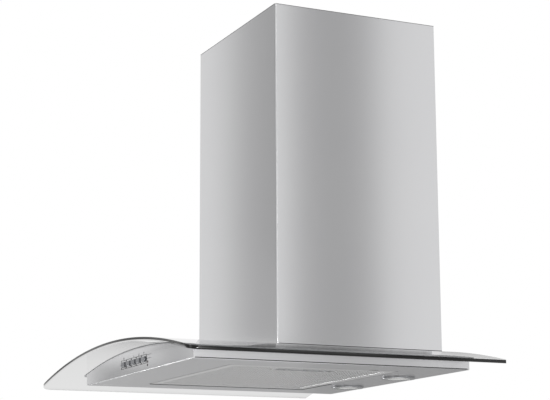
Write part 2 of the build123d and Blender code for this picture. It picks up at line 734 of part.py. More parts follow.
def motor_arms():
    """Three-armed spider that carries the motor across the inlet."""
    bush_x = HOUSING_HALF + HOUSING_WALL
    arm_x = bush_x + BUSH_LENGTH
    reach = INLET_FLANGE_R - BUSH_R
    ring = Circle(MOTOR_R + ARM_RING) - Circle(MOTOR_R - BELL_DROP + PIN_PLAY)
    grip_x = MOTOR_START + MOTOR_LENGTH - MOTOR_STEP + PLAY
    arms = about_shaft(ring, grip_x, arm_x + ARM_THICK)
    spoke = Pos((MOTOR_R + reach) / 2, 0) * Rectangle(reach - MOTOR_R, ARM_WIDTH)
    spoke += Pos(reach, 0) * Circle(ARM_WIDTH / 2)
    for i in range(ARM_COUNT):
        turned = Rot(0, 0, 90 + i * 360 / ARM_COUNT) * spoke
        arms += about_shaft(turned, arm_x, arm_x + ARM_THICK)
    return arms


def motor_bushes():
    """Rubber bushes between the spider's arms and the inlet ring."""
    x0 = HOUSING_HALF + HOUSING_WALL
    reach = INLET_FLANGE_R - BUSH_R
    bushes = []
    for i in range(ARM_COUNT):
        spot = Pos(*polar(reach, 90 + i * 360 / ARM_COUNT)) * Circle(BUSH_R)
        bushes.append(about_shaft(spot, x0, x0 + BUSH_LENGTH))
    return bushes


# ---- air outlet ----


def adaptor_skin(grow):
    """Loft from the fan's square mouth to the round collar."""
    base_z = CABINET_TOP + ADAPTOR_BASE
    foot = Pos(0, -COLLAR_OUT, base_z) * RectangleRounded(
        2 * (SCROLL_HALF + grow), MOUTH_LENGTH + 2 * grow, MOUTH_CORNER + grow
    )
    head = Pos(0, -COLLAR_OUT, COLLAR_BASE_Z) * Circle(COLLAR_BORE + grow)
    return loft([foot, head])


def outlet_collar():
    """Square-to-round adaptor with the collar that the duct slides over."""
    wall = COLLAR_WALL
    reach_x = SCROLL_HALF + MOUTH_FLANGE + HOUSING_WALL
    reach_out = MOUTH_LENGTH / 2 + MOUTH_LIP
    base = block(
        -reach_x,
        reach_x,
        COLLAR_OUT - reach_out,
        COLLAR_OUT + reach_out,
        CABINET_TOP,
        CABINET_TOP + ADAPTOR_BASE,
    )
    base = fillet(base.edges().filter_by(Axis.Z), MOUTH_CORNER)
    mouth = Pos(0, -COLLAR_OUT, CABINET_TOP) * RectangleRounded(
        2 * SCROLL_HALF, MOUTH_LENGTH, MOUTH_CORNER
    )
    base -= extrude(mouth, amount=ADAPTOR_BASE, dir=(0, 0, 1))
    skirt = adaptor_skin(wall) - adaptor_skin(0)
    collar = rod(0, COLLAR_OUT, COLLAR_BASE_Z, COLLAR_TOP_Z, COLLAR_R)
    collar -= rod(0, COLLAR_OUT, COLLAR_BASE_Z, COLLAR_TOP_Z, COLLAR_BORE)
    ledge_z = FLAP_Z - FLAP_THICK / 2 - PLAY
    ledge = rod(0, COLLAR_OUT, ledge_z - FLAP_THICK, ledge_z, COLLAR_BORE + wall / 2)
    ledge -= rod(0, COLLAR_OUT, ledge_z - FLAP_THICK, ledge_z, COLLAR_BORE - FLAP_LEDGE)
    collar = base + skirt + collar + ledge
    collar -= rod_along_x(-COLLAR_R, COLLAR_R, COLLAR_OUT, FLAP_Z, FLAP_PIN_R + PIN_PLAY)
    return collar - screw_bores(ADAPTOR_SCREWS, CABINET_TOP - CUT, CABINET_TOP + ADAPTOR_BASE + CUT)


def collar_screws():
    """Screws that hold the adaptor and the fan housing to the cabinet."""
    low = CABINET_TOP - SHEET - HOUSING_WALL - SCREW_TAIL
    return [screw(x, out, low, CABINET_TOP + ADAPTOR_BASE) for x, out in ADAPTOR_SCREWS]


def damper_pin():
    """Pin across the collar that both flaps swing on."""
    reach = COLLAR_R - COLLAR_WALL / 4
    return rod_along_x(-reach, reach, COLLAR_OUT, FLAP_Z, FLAP_PIN_R)


def damper_flap(side, knuckles):
    """Half-moon flap; side is 1 towards the room and -1 towards the wall."""
    low = FLAP_Z - FLAP_THICK / 2
    high = FLAP_Z + FLAP_THICK / 2
    knuckle_r = FLAP_PIN_R + PIN_PLAY + KNUCKLE_WALL
    start = knuckle_r + PLAY
    far = 2 * COLLAR_R
    flap = rod(0, COLLAR_OUT, low, high, COLLAR_BORE - 2 * PLAY)
    inner, outer = sorted((COLLAR_OUT + side * start, COLLAR_OUT - side * far))
    flap -= block(-far, far, inner, outer, low - CUT, high + CUT)
    for x0, x1 in knuckles:
        web0, web1 = sorted((COLLAR_OUT, COLLAR_OUT + side * (start + FLAP_THICK)))
        flap += block(x0, x1, web0, web1, low, high)
        flap += rod_along_x(x0, x1, COLLAR_OUT, FLAP_Z, knuckle_r)
    return flap - rod_along_x(-far, far, COLLAR_OUT, FLAP_Z, FLAP_PIN_R + PIN_PLAY)


def damper_flaps():
    """Rear flap on one middle knuckle, front flap on two outer ones."""
    end = COLLAR_BORE - FLAP_LEDGE - KNUCKLE_GAP
    middle = KNUCKLE_SPLIT
    front = damper_flap(1, ((-end, -middle - PLAY), (middle + PLAY, end)))
    rear = damper_flap(-1, ((-middle, middle),))
    return front, rear


# ---- chimney ----


def cover(half, back, front, z0, z1, bend):
    """Three-sided cover, folded from one sheet, with its rear edges turned in."""
    outer = block(-half, half, back, front, z0, z1)
    outer = fillet(outer.edges().filter_by(Axis.Z).sort_by(Axis.Y)[:2], bend)
    heights = (z0 - CUT, z1 + CUT)
    inner = block(-half + SHEET, half - SHEET, back + SHEET, front - SHEET, *heights)
    if bend > SHEET:
        inner = fillet(inner.edges().filter_by(Axis.Z).sort_by(Axis.Y)[:2], bend - SHEET)
    gap = half - CHIMNEY_RETURN
    return outer - inner - block(-gap, gap, back - CUT, back + SHEET + CUT, *heights)


def chimney_lower():
    """Outer cover, whose foot follows the top of the glass."""
    shell = cover(CHIMNEY_HALF, 0, CHIMNEY_DEPTH, 0, CHIMNEY_TOP, BEND)
    level = GLASS_THICK + PLAY
    return shell - under_arch(CHIMNEY_HALF + CUT, -CUT, level, -CUT, CHIMNEY_DEPTH + CUT)


def chimney_upper():
    """Inner cover, nested in the outer one, that slides up to the ceiling."""
    shell = cover(
        UPPER_HALF, UPPER_BACK, UPPER_FRONT, UPPER_TOP - UPPER_LENGTH, UPPER_TOP, UPPER_BEND
    )
    z, out = bracket_screw_spot()
    return shell - rod_along_x(-CHIMNEY_HALF, CHIMNEY_HALF, out, z, SCREW_R + PIN_PLAY)


def bracket_screw_spot():
    """Height and distance from the wall of the screw in each ear of the bracket."""
    z = UPPER_TOP - BRACKET_BELOW_TOP - BRACKET_HEIGHT / 2
    return z, UPPER_BACK + SHEET + BRACKET_SCREW_OUT


def chimney_bracket():
    """Wall bracket, stepped round the covers' turned-in edges, with two ears."""
    top = UPPER_TOP - BRACKET_BELOW_TOP
    low = top - BRACKET_HEIGHT
    inside = UPPER_HALF - SHEET - PIN_PLAY
    step_x = CHIMNEY_HALF - CHIMNEY_RETURN - SHEET - SLIP - 2 * PLAY
    shelf = UPPER_BACK + SHEET + PLAY
    thick = BRACKET_THICK
    bracket = block(-step_x, step_x, 0, thick, low, top)
    bend = block(step_x - thick, step_x, 0, shelf + thick, low, top)
    arm = block(step_x - thick, inside, shelf, shelf + thick, low, top)
    ear = block(inside - thick, inside, shelf, shelf + BRACKET_EAR, low, top)
    side = bend + arm + ear
    z, out = bracket_screw_spot()
    side -= rod_along_x(step_x, CHIMNEY_HALF, out, z, SCREW_R + PIN_PLAY)
    bracket = bracket + side + mirrored(side)
    slot = SlotOverall(BRACKET_SLOT_LENGTH, 2 * BRACKET_SLOT_R)
    for sx in (-1, 1):
        face = Pos(sx * BRACKET_SLOT_SPACING / 2, (low + top) / 2) * slot
        bracket -= along_wall(face, -CUT, thick + CUT)
    return bracket


def bracket_screws():
    """Screws from inside the ears into the inner cover."""
    z, out = bracket_screw_spot()
    ear_face = UPPER_HALF - SHEET - PIN_PLAY - BRACKET_THICK
    shank = rod_along_x(ear_face, UPPER_HALF - PLAY, out, z, SCREW_R)
    head = rod_along_x(ear_face - SCREW_HEAD, ear_face, out, z, SCREW_HEAD_R)
    return [shank + head, mirrored(shank + head)]


def chimney_clips():
    """Angle clips from the cabinet's sides that hold the outer cover's foot."""
    thick = CLAMP_THICK
    x0 = CABINET_HALF
    x1 = CHIMNEY_HALF - SHEET - PIN_PLAY
    out0 = CHIMNEY_DEPTH / 2 - CLIP_WIDTH / 2
    out1 = out0 + CLIP_WIDTH
    clip = block(x0, x0 + thick, out0, out1, CLIP_Z, CLIP_Z + CLIP_HEIGHT)
    clip += block(x0, x1, out0, out1, CLIP_Z, CLIP_Z + thick)
    clip += block(x1 - thick, x1, out0, out1, CLIP_Z, CLIP_Z + CLIP_HEIGHT)
    return [clip, mirrored(clip)]


# ---- electrics ----


def terminal_box():
    """Terminal box on top of the cabinet, with a hole for the mains gland."""
    half = TERMINAL_WIDTH / 2
    box = block(
        GLAND_X - half,
        GLAND_X + half,
        TERMINAL_OUT,
        TERMINAL_OUT + TERMINAL_LENGTH,
        CABINET_TOP,
        CABINET_TOP + TERMINAL_HEIGHT,
    )
    top = box.faces().sort_by(Axis.Z)[-1]
    box = fillet(list(box.edges().filter_by(Axis.Z)) + list(top.edges()), TERMINAL_ROUND)
    return box - gland_core(GLAND_CORE_R + PIN_PLAY, 0)


def gland_core(radius, past):
    """Core of the mains gland, through the terminal box's rear wall."""
    reach = GLAND_LENGTH + past
    return rod_along_y(GLAND_X, TERMINAL_OUT - reach, TERMINAL_OUT + reach, GLAND_Z, radius)


def cable_gland():
    """Hollow gland nut that the mains lead enters by."""
    face = Pos(GLAND_X, GLAND_Z) * RegularPolygon(GLAND_R, 6)
    nut = along_wall(face, TERMINAL_OUT - GLAND_LENGTH, TERMINAL_OUT)
    return nut + gland_core(GLAND_CORE_R, 0) - gland_core(GLAND_BORE_R, CUT)


def capacitor():
    """Motor capacitor, stood in its cup on the cabinet."""
    x = -CABINET_HALF + SHEET + CAPACITOR_R + 2 * CUP_WALL
    out = CAPACITOR_OUT
    can = rod(x, out, CABINET_TOP, CABINET_TOP + CAPACITOR_HEIGHT, CAPACITOR_R)
    can = fillet(can.edges().sort_by(Axis.Z)[-1], CAPACITOR_ROUND)
    return can + rod(x, out, CABINET_TOP, CABINET_TOP + CUP_HEIGHT, CAPACITOR_R + CUP_WALL)


def lamp_driver():
    """Low-voltage supply for the lamps, on the pan between them."""
    driver = block(
        -DRIVER_LENGTH / 2,
        DRIVER_LENGTH / 2,
        LAMP_OUT - DRIVER_WIDTH / 2,
        LAMP_OUT + DRIVER_WIDTH / 2,
        SHEET,
        SHEET + DRIVER_HEIGHT,
    )
    return fillet(driver.edges().filter_by(Axis.Z), DRIVER_CORNER)


# ---- controls ----


def switch_block():
    """Row of push switches, held off the panel by two end posts."""
    half_height = SWITCH_HEIGHT / 2
    x0 = BUTTON_XS[0] - BUTTON_PITCH / 2
    x1 = BUTTON_XS[-1] + BUTTON_PITCH / 2
    back = SWITCH_FRONT - SWITCH_DEPTH
    row = block(x0, x1, back, SWITCH_FRONT, BUTTON_Z - half_height, BUTTON_Z + half_height)
    for x in (x0 - SWITCH_WALL, x1):
        row += block(
            x,
            x + SWITCH_WALL,
            back,
            PANEL_BACK,
            BUTTON_Z - half_height,
            BUTTON_Z + half_height,
        )
    for x in BUTTON_XS:
        bore_end = SWITCH_FRONT - STEM_LENGTH - BUTTON_TRAVEL
        row -= rod_along_y(x, bore_end, SWITCH_FRONT + CUT, BUTTON_Z, STEM_R + PIN_PLAY)
    return row


def push_button(x):
    """Button cap with its retaining flange and its stem into the switch."""
    cap_face = RectangleRounded(BUTTON_WIDTH, BUTTON_HEIGHT, BUTTON_CORNER)
    flange_front = PANEL_BACK - PLAY
    flange_back = flange_front - BUTTON_FLANGE
    cap = along_wall(Pos(x, BUTTON_Z) * cap_face, flange_back, BODY_DEPTH + BUTTON_PROUD)
    front = cap.faces().sort_by(Axis.Y)[0]
    cap = fillet(front.edges(), BUTTON_PROUD / 3)
    flange_grow = 2 * PLAY + BUTTON_FLANGE
    flange_face = RectangleRounded(
        BUTTON_WIDTH + 2 * flange_grow, BUTTON_HEIGHT + 2 * flange_grow, BUTTON_CORNER
    )
    cap += along_wall(Pos(x, BUTTON_Z) * flange_face, flange_back, flange_front)
    return cap + rod_along_y(x, SWITCH_FRONT - STEM_LENGTH, flange_back, BUTTON_Z, STEM_R)


def pilot_lenses():
    """Two small indicator lenses in the panel."""
    lenses = []
    for z in PILOT_Z:
        lens = rod_along_y(PILOT_X, PANEL_BACK, BODY_DEPTH + PLAY, z, PILOT_R)
        rim = rod_along_y(PILOT_X, PANEL_BACK - SHEET, PANEL_BACK, z, PILOT_R + PLAY)
        lenses.append(lens + rim)
    return lenses


# ---- filter ----


def filter_block(inset, z0, z1):
    """Block as large as the filter, drawn in on every side."""
    return block(
        -FILTER_HALF + inset,
        FILTER_HALF - inset,
        FILTER_BACK + inset,
        FILTER_FRONT - inset,
        z0,
        z1,
    )


def tongue_path(x0, x1, z0, z1):
    """Free way for the latch tongue through the filter."""
    half = TONGUE_WIDTH / 2 + PLAY
    return block(x0, x1, FILTER_MID - half, FILTER_MID + half, z0, z1)


def filter_frame():
    """Channel frame with two hooks on one side and a slot for the latch on the other."""
    frame = filter_block(0, 0, FILTER_THICK)
    frame = fillet(frame.edges().filter_by(Axis.Z), FILTER_CORNER)
    frame -= filter_block(SHEET, SHEET, FILTER_THICK - SHEET)
    frame -= filter_block(FILTER_CHANNEL, -CUT, FILTER_THICK + CUT)
    for out in HOOK_OUTS:
        frame += block(
            -FILTER_HALF - HOOK_REACH,
            -FILTER_HALF + SHEET,
            out - HOOK_LENGTH / 2,
            out + HOOK_LENGTH / 2,
            HOOK_Z,
            HOOK_Z + HOOK_THICK,
        )
    tongue_top = TONGUE_Z + TONGUE_THICK + PLAY
    return frame - tongue_path(FILTER_HALF - SHEET - CUT, FILTER_HALF + CUT, SHEET, tongue_top)


def tray_block(grow, z0, z1):
    """Block as large as the finger-pull tray, grown on every side."""
    return block(
        TRAY_CENTRE_X - TRAY_WIDTH / 2 - grow,
        TRAY_CENTRE_X + TRAY_WIDTH / 2 + grow,
        FILTER_MID - TRAY_LENGTH / 2 - grow,
        FILTER_MID + TRAY_LENGTH / 2 + grow,
        z0,
        z1,
    )


def mesh_gap_spots(pitch_x, pitch_out):
    """Middles of the mesh's gaps: a grid, and a second one set between its rows."""
    x0 = -FILTER_HALF + FILTER_CHANNEL
    out0 = FILTER_BACK + FILTER_CHANNEL
    spots = []
    for shift in (0.5, 1.0):
        for column in range(MESH_COLUMNS - (shift == 1.0)):
            for row in range(MESH_ROWS - (shift == 1.0)):
                spots.append((x0 + (column + shift) * pitch_x, out0 + (row + shift) * pitch_out))
    return spots


def beside_tray(x, out, half_x, half_out):
    """Whether a gap of this size would cut into the tray's margin or the tongue's way."""
    near_x = abs(x - TRAY_CENTRE_X) < TRAY_WIDTH / 2 + half_x + 3 * TRAY_WALL
    near_out = abs(out - FILTER_MID) < TRAY_LENGTH / 2 + half_out + 3 * TRAY_WALL
    in_way = x > TRAY_CENTRE_X and abs(out - FILTER_MID) < TONGUE_WIDTH / 2 + half_out
    return (near_x and near_out) or in_way


def filter_mesh():
    """Expanded-metal face: a net of diamond gaps, left plain round the tray."""
    margin = SHEET + PIN_PLAY
    face = filter_block(margin, SHEET, SHEET + MESH_THICK)
    pitch_x = (FILTER_WIDTH - 2 * FILTER_CHANNEL) / MESH_COLUMNS
    pitch_out = (FILTER_DEPTH - 2 * FILTER_CHANNEL) / MESH_ROWS
    side = math.hypot(pitch_x, pitch_out)
    shrink = 1 - MESH_STRAND * side / (pitch_x * pitch_out)
    half_x = pitch_x / 2 * shrink
    half_out = pitch_out / 2 * shrink
    diamond = Polygon((half_x, 0), (0, half_out), (-half_x, 0), (0, -half_out))
    gaps = [
        Pos(x, -out) * diamond
        for x, out in mesh_gap_spots(pitch_x, pitch_out)
        if not beside_tray(x, out, half_x, half_out)
    ]
    face -= [extrude(gap, amount=2 * SHEET, dir=(0, 0, 1)) for gap in gaps]
    face -= tray_block(0, 0, FILTER_THICK)
    return face - tongue_path(FILTER_HALF - FILTER_CHANNEL - SHEET, FILTER_HALF, 0, FILTER_THICK)


def filter_core():
    """Stack of aluminium wool above the mesh."""
    low = SHEET + MESH_THICK
    core = filter_block(SHEET + PIN_PLAY, low, low + CORE_THICK)
    core -= tray_block(PIN_PLAY, 0, FILTER_THICK)
    way_top = TONGUE_Z + TONGUE_THICK + PLAY
    return core - tongue_path(TRAY_CENTRE_X, FILTER_HALF, 0, way_top)


def filter_tray():
    """Finger-pull tray, pressed into the filter."""
    rim = 2 * TRAY_WALL
    tray = tray_block(0, SHEET - TRAY_WALL, TRAY_DEPTH)
    tray += tray_block(rim, SHEET - TRAY_WALL, SHEET)
    tray -= tray_block(-TRAY_WALL, -CUT, TRAY_DEPTH - TRAY_WALL)
    way_top = TONGUE_Z + TONGUE_THICK + PLAY
    return tray - tongue_path(TRAY_CENTRE_X, FILTER_HALF, TONGUE_Z - PLAY, way_top)


def filter_latch():
    """Sliding latch: a pull rib in the tray and a tongue over the pan's edge."""
    rib_x = TRAY_CENTRE_X - PULL_THICK / 2
    rib = block(
        rib_x,
        rib_x + PULL_THICK,
        FILTER_MID - PULL_LENGTH / 2,
        FILTER_MID + PULL_LENGTH / 2,
        SHEET,
        SHEET + PULL_HEIGHT,
    )
    rib = fillet(rib.edges().filter_by(Axis.Y), PULL_THICK / 4)
    half = TONGUE_WIDTH / 2
    tip_end = FILTER_HALF + LATCH_TRAVEL
    tip_start = FILTER_HALF - SHEET - PLAY - TONGUE_THICK
    tongue_top = TONGUE_Z + TONGUE_THICK
    bar = block(rib_x, tip_end, FILTER_MID - half, FILTER_MID + half, TONGUE_Z, tongue_top)
    tip = block(tip_start, tip_end, FILTER_MID - half, FILTER_MID + half, HOOK_Z, tongue_top)
    return rib + bar + tip


# ---- lamps ----


def about_lamp(face, centre):
    """Profile of radius and height, turned about a lamp's upright axis."""
    x, out = centre
    plane = Plane(origin=(x, -out, 0), x_dir=(1, 0, 0), z_dir=(0, -1, 0))
    return revolve(plane * face, Axis((x, -out, 0), (0, 0, 1)))


def lamp_bezel(centre):
    """Round-edged trim ring under the pan, with a neck that goes up through it."""
    low = -LAMP_DROP
    seat_z = low + BEZEL_FACE
    seat_r = LAMP_LENS_R - BEZEL_LEDGE
    bore_r = LAMP_LENS_R + PIN_PLAY
    outline = Polyline(
        (seat_r, low),
        (LAMP_R, low),
        (LAMP_R, 0),
        (BEZEL_NECK_R, 0),
        (BEZEL_NECK_R, BEZEL_NECK),
        (bore_r, BEZEL_NECK),
        (bore_r, seat_z),
        (seat_r, seat_z),
        close=True,
    )
    face = make_face(outline)
    corner = face.vertices().sort_by(Axis.X)[-2:].sort_by(Axis.Y)[0]
    return about_lamp(fillet(corner, BEZEL_EDGE), centre)


def lamp_lens(centre):
    """Frosted disc that bulges a little through the bezel."""
    low = BEZEL_FACE - LAMP_DROP
    crown_r = LAMP_LENS_R - BEZEL_LEDGE - PLAY
    crown = Polyline(
        (crown_r, low),
        (LAMP_LENS_R, low),
        (LAMP_LENS_R, low + LAMP_LENS_THICK),
        (0, low + LAMP_LENS_THICK),
        (0, low - LAMP_LENS_CROWN),
    )
    belly = ThreePointArc(
        (0, low - LAMP_LENS_CROWN), (crown_r / 2, low - 3 / 4 * LAMP_LENS_CROWN), (crown_r, low)
    )
    return about_lamp(make_face(crown + belly), centre)


def lamp_housing(centre):
    """Cup that stands on the pan, holds the bezel's neck and backs the lens."""
    lens_top = BEZEL_FACE - LAMP_DROP + LAMP_LENS_THICK
    stub_r = LAMP_LENS_R - CUP_STUB
    bore_r = BEZEL_NECK_R + PLAY
    bore_top = BEZEL_NECK + SEAT
    rim_r = bore_r + LAMP_RIM
    wall_r = LAMP_R - CUP_SKIN
    outline = Polyline(
        (0, lens_top),
        (stub_r, lens_top),
        (stub_r, bore_top),
        (bore_r, bore_top),
        (bore_r, SHEET),
        (rim_r, SHEET),
        (rim_r, 2 * SHEET),
        (wall_r, 2 * SHEET),
        (wall_r - CUP_SKIN, LAMP_CUP_HEIGHT),
        (0, LAMP_CUP_HEIGHT),
        close=True,
    )
    return about_lamp(make_face(outline), centre)


def build_nodes():
    """Every node's name with its solid, or its list of solids."""
    left_housing, right_housing = housing_halves()
    flap_front, flap_rear = damper_flaps()
    nodes = {
        "glass_canopy": glass_canopy(),
        "glass_seal": glass_seal(),
        "glass_clamps": glass_clamps(),
        "hood_pan": hood_pan(),
        "front_panel": front_panel(),
        "top_plate": top_plate(),
        "motor_cabinet": motor_cabinet(),
        "cabinet_screws": cabinet_screws(),
        "wall_plate": wall_plate(),
        "wall_rivets": wall_rivets(),
        "fan_housing_left": left_housing,
        "fan_housing_right": right_housing,
        "inlet_rings": inlet_rings(),
        "impeller": impeller(),
        "motor_shaft": motor_shaft(),
        "motor": motor(),
        "motor_arms": motor_arms(),
        "motor_bushes": motor_bushes(),
        "outlet_collar": outlet_collar(),
        "collar_screws": collar_screws(),
        "damper_pin": damper_pin(),
        "damper_flap_front": flap_front,
        "damper_flap_rear": flap_rear,
        "chimney_lower": chimney_lower(),
        "chimney_upper": chimney_upper(),
        "chimney_bracket": chimney_bracket(),
        "bracket_screws": bracket_screws(),
        "chimney_clips": chimney_clips(),
        "terminal_box": terminal_box(),
        "cable_gland": cable_gland(),
        "capacitor": capacitor(),
        "lamp_driver": lamp_driver(),
        "switch_block": switch_block(),
        "pilot_lenses": pilot_lenses(),
        "filter_frame": filter_frame(),
        "filter_mesh": filter_mesh(),
        "filter_core": filter_core(),
        "filter_tray": filter_tray(),
        "filter_latch": filter_latch(),
    }
    for name, x in zip(BUTTON_NAMES, BUTTON_XS):
        nodes[name] = push_button(x)
    for side, centre in zip(("left", "right"), LAMP_CENTRES):
        nodes[f"lamp_bezel_{side}"] = lamp_bezel(centre)
        nodes[f"lamp_lens_{side}"] = lamp_lens(centre)
        nodes[f"lamp_housing_{side}"] = lamp_housing(centre)
    return nodes


def write_parts(nodes):
    """One STEP file per node."""
    os.makedirs("parts", exist_ok=True)
    for name, shape in nodes.items():
        whole = Compound(children=shape) if isinstance(shape, list) else shape
        export_step(whole, f"parts/{name}.step")


write_parts(build_nodes())
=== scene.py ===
import logging
import math
from dataclasses import dataclass, field
from enum import Enum

import bmesh
import bpy
from mathutils import Matrix, Vector


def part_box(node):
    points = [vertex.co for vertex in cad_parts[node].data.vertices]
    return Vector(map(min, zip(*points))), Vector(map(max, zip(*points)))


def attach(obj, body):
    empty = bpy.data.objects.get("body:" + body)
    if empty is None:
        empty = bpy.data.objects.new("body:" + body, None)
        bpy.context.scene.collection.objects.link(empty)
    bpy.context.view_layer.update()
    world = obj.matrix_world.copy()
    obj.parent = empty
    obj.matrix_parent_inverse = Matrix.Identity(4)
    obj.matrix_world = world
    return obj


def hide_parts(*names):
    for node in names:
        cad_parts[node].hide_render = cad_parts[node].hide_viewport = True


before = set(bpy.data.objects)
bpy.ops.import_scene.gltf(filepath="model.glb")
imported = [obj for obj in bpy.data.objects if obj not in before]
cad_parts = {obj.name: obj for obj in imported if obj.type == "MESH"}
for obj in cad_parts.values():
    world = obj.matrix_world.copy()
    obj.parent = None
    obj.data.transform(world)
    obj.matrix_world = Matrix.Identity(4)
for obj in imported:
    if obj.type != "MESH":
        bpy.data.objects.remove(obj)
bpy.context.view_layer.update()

# Wall-hung cooker hood with an arched glass canopy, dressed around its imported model.
# Metres throughout: the wall is the plane y = 0, -Y runs into the room and +Z is up.

log = logging.getLogger("hood")

MM = 0.001
WELD = 1e-6
MIX_FACTOR, MIX_A, MIX_B, MIX_RESULT = 0, 6, 7, 2  # colour sockets of a Mix node

NodeInputs = dict[str | int, object]


# ---- colours, nodes and pieces ----


def srgb(hex_colour: str) -> tuple[float, float, float, float]:
    """Linear colour of an sRGB hex value.

    Args:
        hex_colour: six hex digits after a hash sign.

    Returns:
        Linear red, green and blue, with an alpha of 1.
    """
    channels = [int(hex_colour[i : i + 2], 16) / 255 for i in (1, 3, 5)]
    linear = [c / 12.92 if c <= 0.04045 else ((c + 0.055) / 1.055) ** 2.4 for c in channels]
    return (*linear, 1.0)


def add_node(
    tree: bpy.types.NodeTree, kind: str, inputs: NodeInputs | None = None, **settings: object
) -> bpy.types.Node:
    """Adds a node with its settings, its constants and its links.

    Args:
        tree: node tree that gets the node.
        kind: Blender's name of the node type.
        inputs: value or source socket for each named or numbered input.
        **settings: the node's own properties.

    Returns:
        The new node.
    """
    node = tree.nodes.new(kind)
    for name, value in settings.items():
        setattr(node, name, value)
    for key, value in (inputs or {}).items():
        if isinstance(value, bpy.types.NodeSocket):
            tree.links.new(value, node.inputs[key])
        else:
            node.inputs[key].default_value = value
    return node


def show(
    name: str,
    shape: bmesh.types.BMesh,
    body: str,
    finishes: list["Finish"],
    replaced: tuple[str, ...] = (),
    crease_degrees: float = 35.0,
) -> bpy.types.Object:
    """Turns a finished shape into a piece of the hood.

    Args:
        name: the piece's name.
        shape: its geometry in place, which is used up.
        body: CAD body that it rides on.
        finishes: one finish for each material index.
        replaced: CAD nodes that it stands for.
        crease_degrees: edges that turn more than this stay sharp.

    Returns:
        The new object.
    """
    bmesh.ops.remove_doubles(shape, verts=shape.verts, dist=WELD)
    bmesh.ops.recalc_face_normals(shape, faces=shape.faces)
    crease = math.radians(crease_degrees)
    for face in shape.faces:
        face.smooth = True
    for edge in shape.edges:
        edge.smooth = edge.calc_face_angle(0.0) < crease
    mesh = bpy.data.meshes.new(name)
    shape.to_mesh(mesh)
    shape.free()
    piece = bpy.data.objects.new(name, mesh)
    bpy.context.scene.collection.objects.link(piece)
    for finish in finishes:
        mesh.materials.append(finish.material())
    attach(piece, body)
    if replaced:
        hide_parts(*replaced)
    log.info("%s: %d faces on %s", name, len(mesh.polygons), body)
    return piece


def dress(finish: "Finish", *names: str) -> None:
    """Gives CAD nodes a finish.

    Args:
        finish: the finish.
        *names: names of the nodes.
    """
    for name in names:
        for material_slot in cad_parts[name].material_slots:
            material_slot.material = finish.material()
        log.info("%s: %s", name, finish.name)


def raise_faces(shape: bmesh.types.BMesh, faces: list[bmesh.types.BMFace], out: Vector) -> None:
    """Gives flat faces thickness.

    Args:
        shape: mesh that holds the faces.
        faces: the flat faces.
        out: how far and which way their front moves.
    """
    grown = bmesh.ops.extrude_face_region(shape, geom=faces)["geom"]
    moved = [part for part in grown if isinstance(part, bmesh.types.BMVert)]
    bmesh.ops.translate(shape, vec=out, verts=moved)


def lay_flat(
    shape: bmesh.types.BMesh, centre: Vector, wide: float, high: float, facing: Vector
) -> list[bmesh.types.BMFace]:
    """Adds an upright rectangle.

    Args:
        shape: mesh that gets it.
        centre: its middle.
        wide: its width.
        high: its height.
        facing: the way that it faces, level.

    Returns:
        Its one face.
    """
    turned = facing.to_track_quat("Z", "Y").to_matrix().to_4x4()
    made = bmesh.ops.create_grid(
        shape,
        x_segments=1,
        y_segments=1,
        size=0.5,
        matrix=Matrix.Translation(centre) @ turned @ Matrix.Diagonal((wide, high, 1, 1)),
    )
    return made["verts"][0].link_faces[:]


def lay_bar(
    shape: bmesh.types.BMesh, centre: Vector, wide: float, high: float, out: Vector
) -> None:
    """Adds a thin raised bar on an upright surface.

    Args:
        shape: mesh that gets it.
        centre: middle of its back.
        wide: its width.
        high: its height.
        out: how far and which way it stands off the surface.
    """
    raise_faces(shape, lay_flat(shape, centre, wide, high, out), out)


class Grain(Enum):
    """Direction in which a sheet was brushed, with the direction across its scratches."""

    LEVEL = ((1.0, 0.0, 0.0), (0.0, 0.3, 1.0))
    UPRIGHT = ((0.0, 0.0, 1.0), (1.0, 1.0, 0.0))

    @property
    def along(self) -> Vector:
        """Direction of the scratches."""
        return Vector(self.value[0])

    @property
    def across(self) -> Vector:
        """Direction in which the scratches spread the light."""
        return Vector(self.value[1])


# ---- finishes ----


@dataclass(frozen=True)
class Finish:
    """A finish that makes its material once."""

    name: str

    def material(self) -> bpy.types.Material:
        """The finish's material, made at its first use."""
        made = bpy.data.materials.get(self.name)
        if made is None:
            made = bpy.data.materials.new(self.name)
            made.use_nodes = True
            made.node_tree.nodes.clear()
            surface = self.paint(made.node_tree)
            add_node(made.node_tree, "ShaderNodeOutputMaterial", {"Surface": surface})
        return made

    def paint(self, tree: bpy.types.NodeTree) -> bpy.types.NodeSocket:
        """Builds the surface and returns its shader socket."""
        raise NotImplementedError


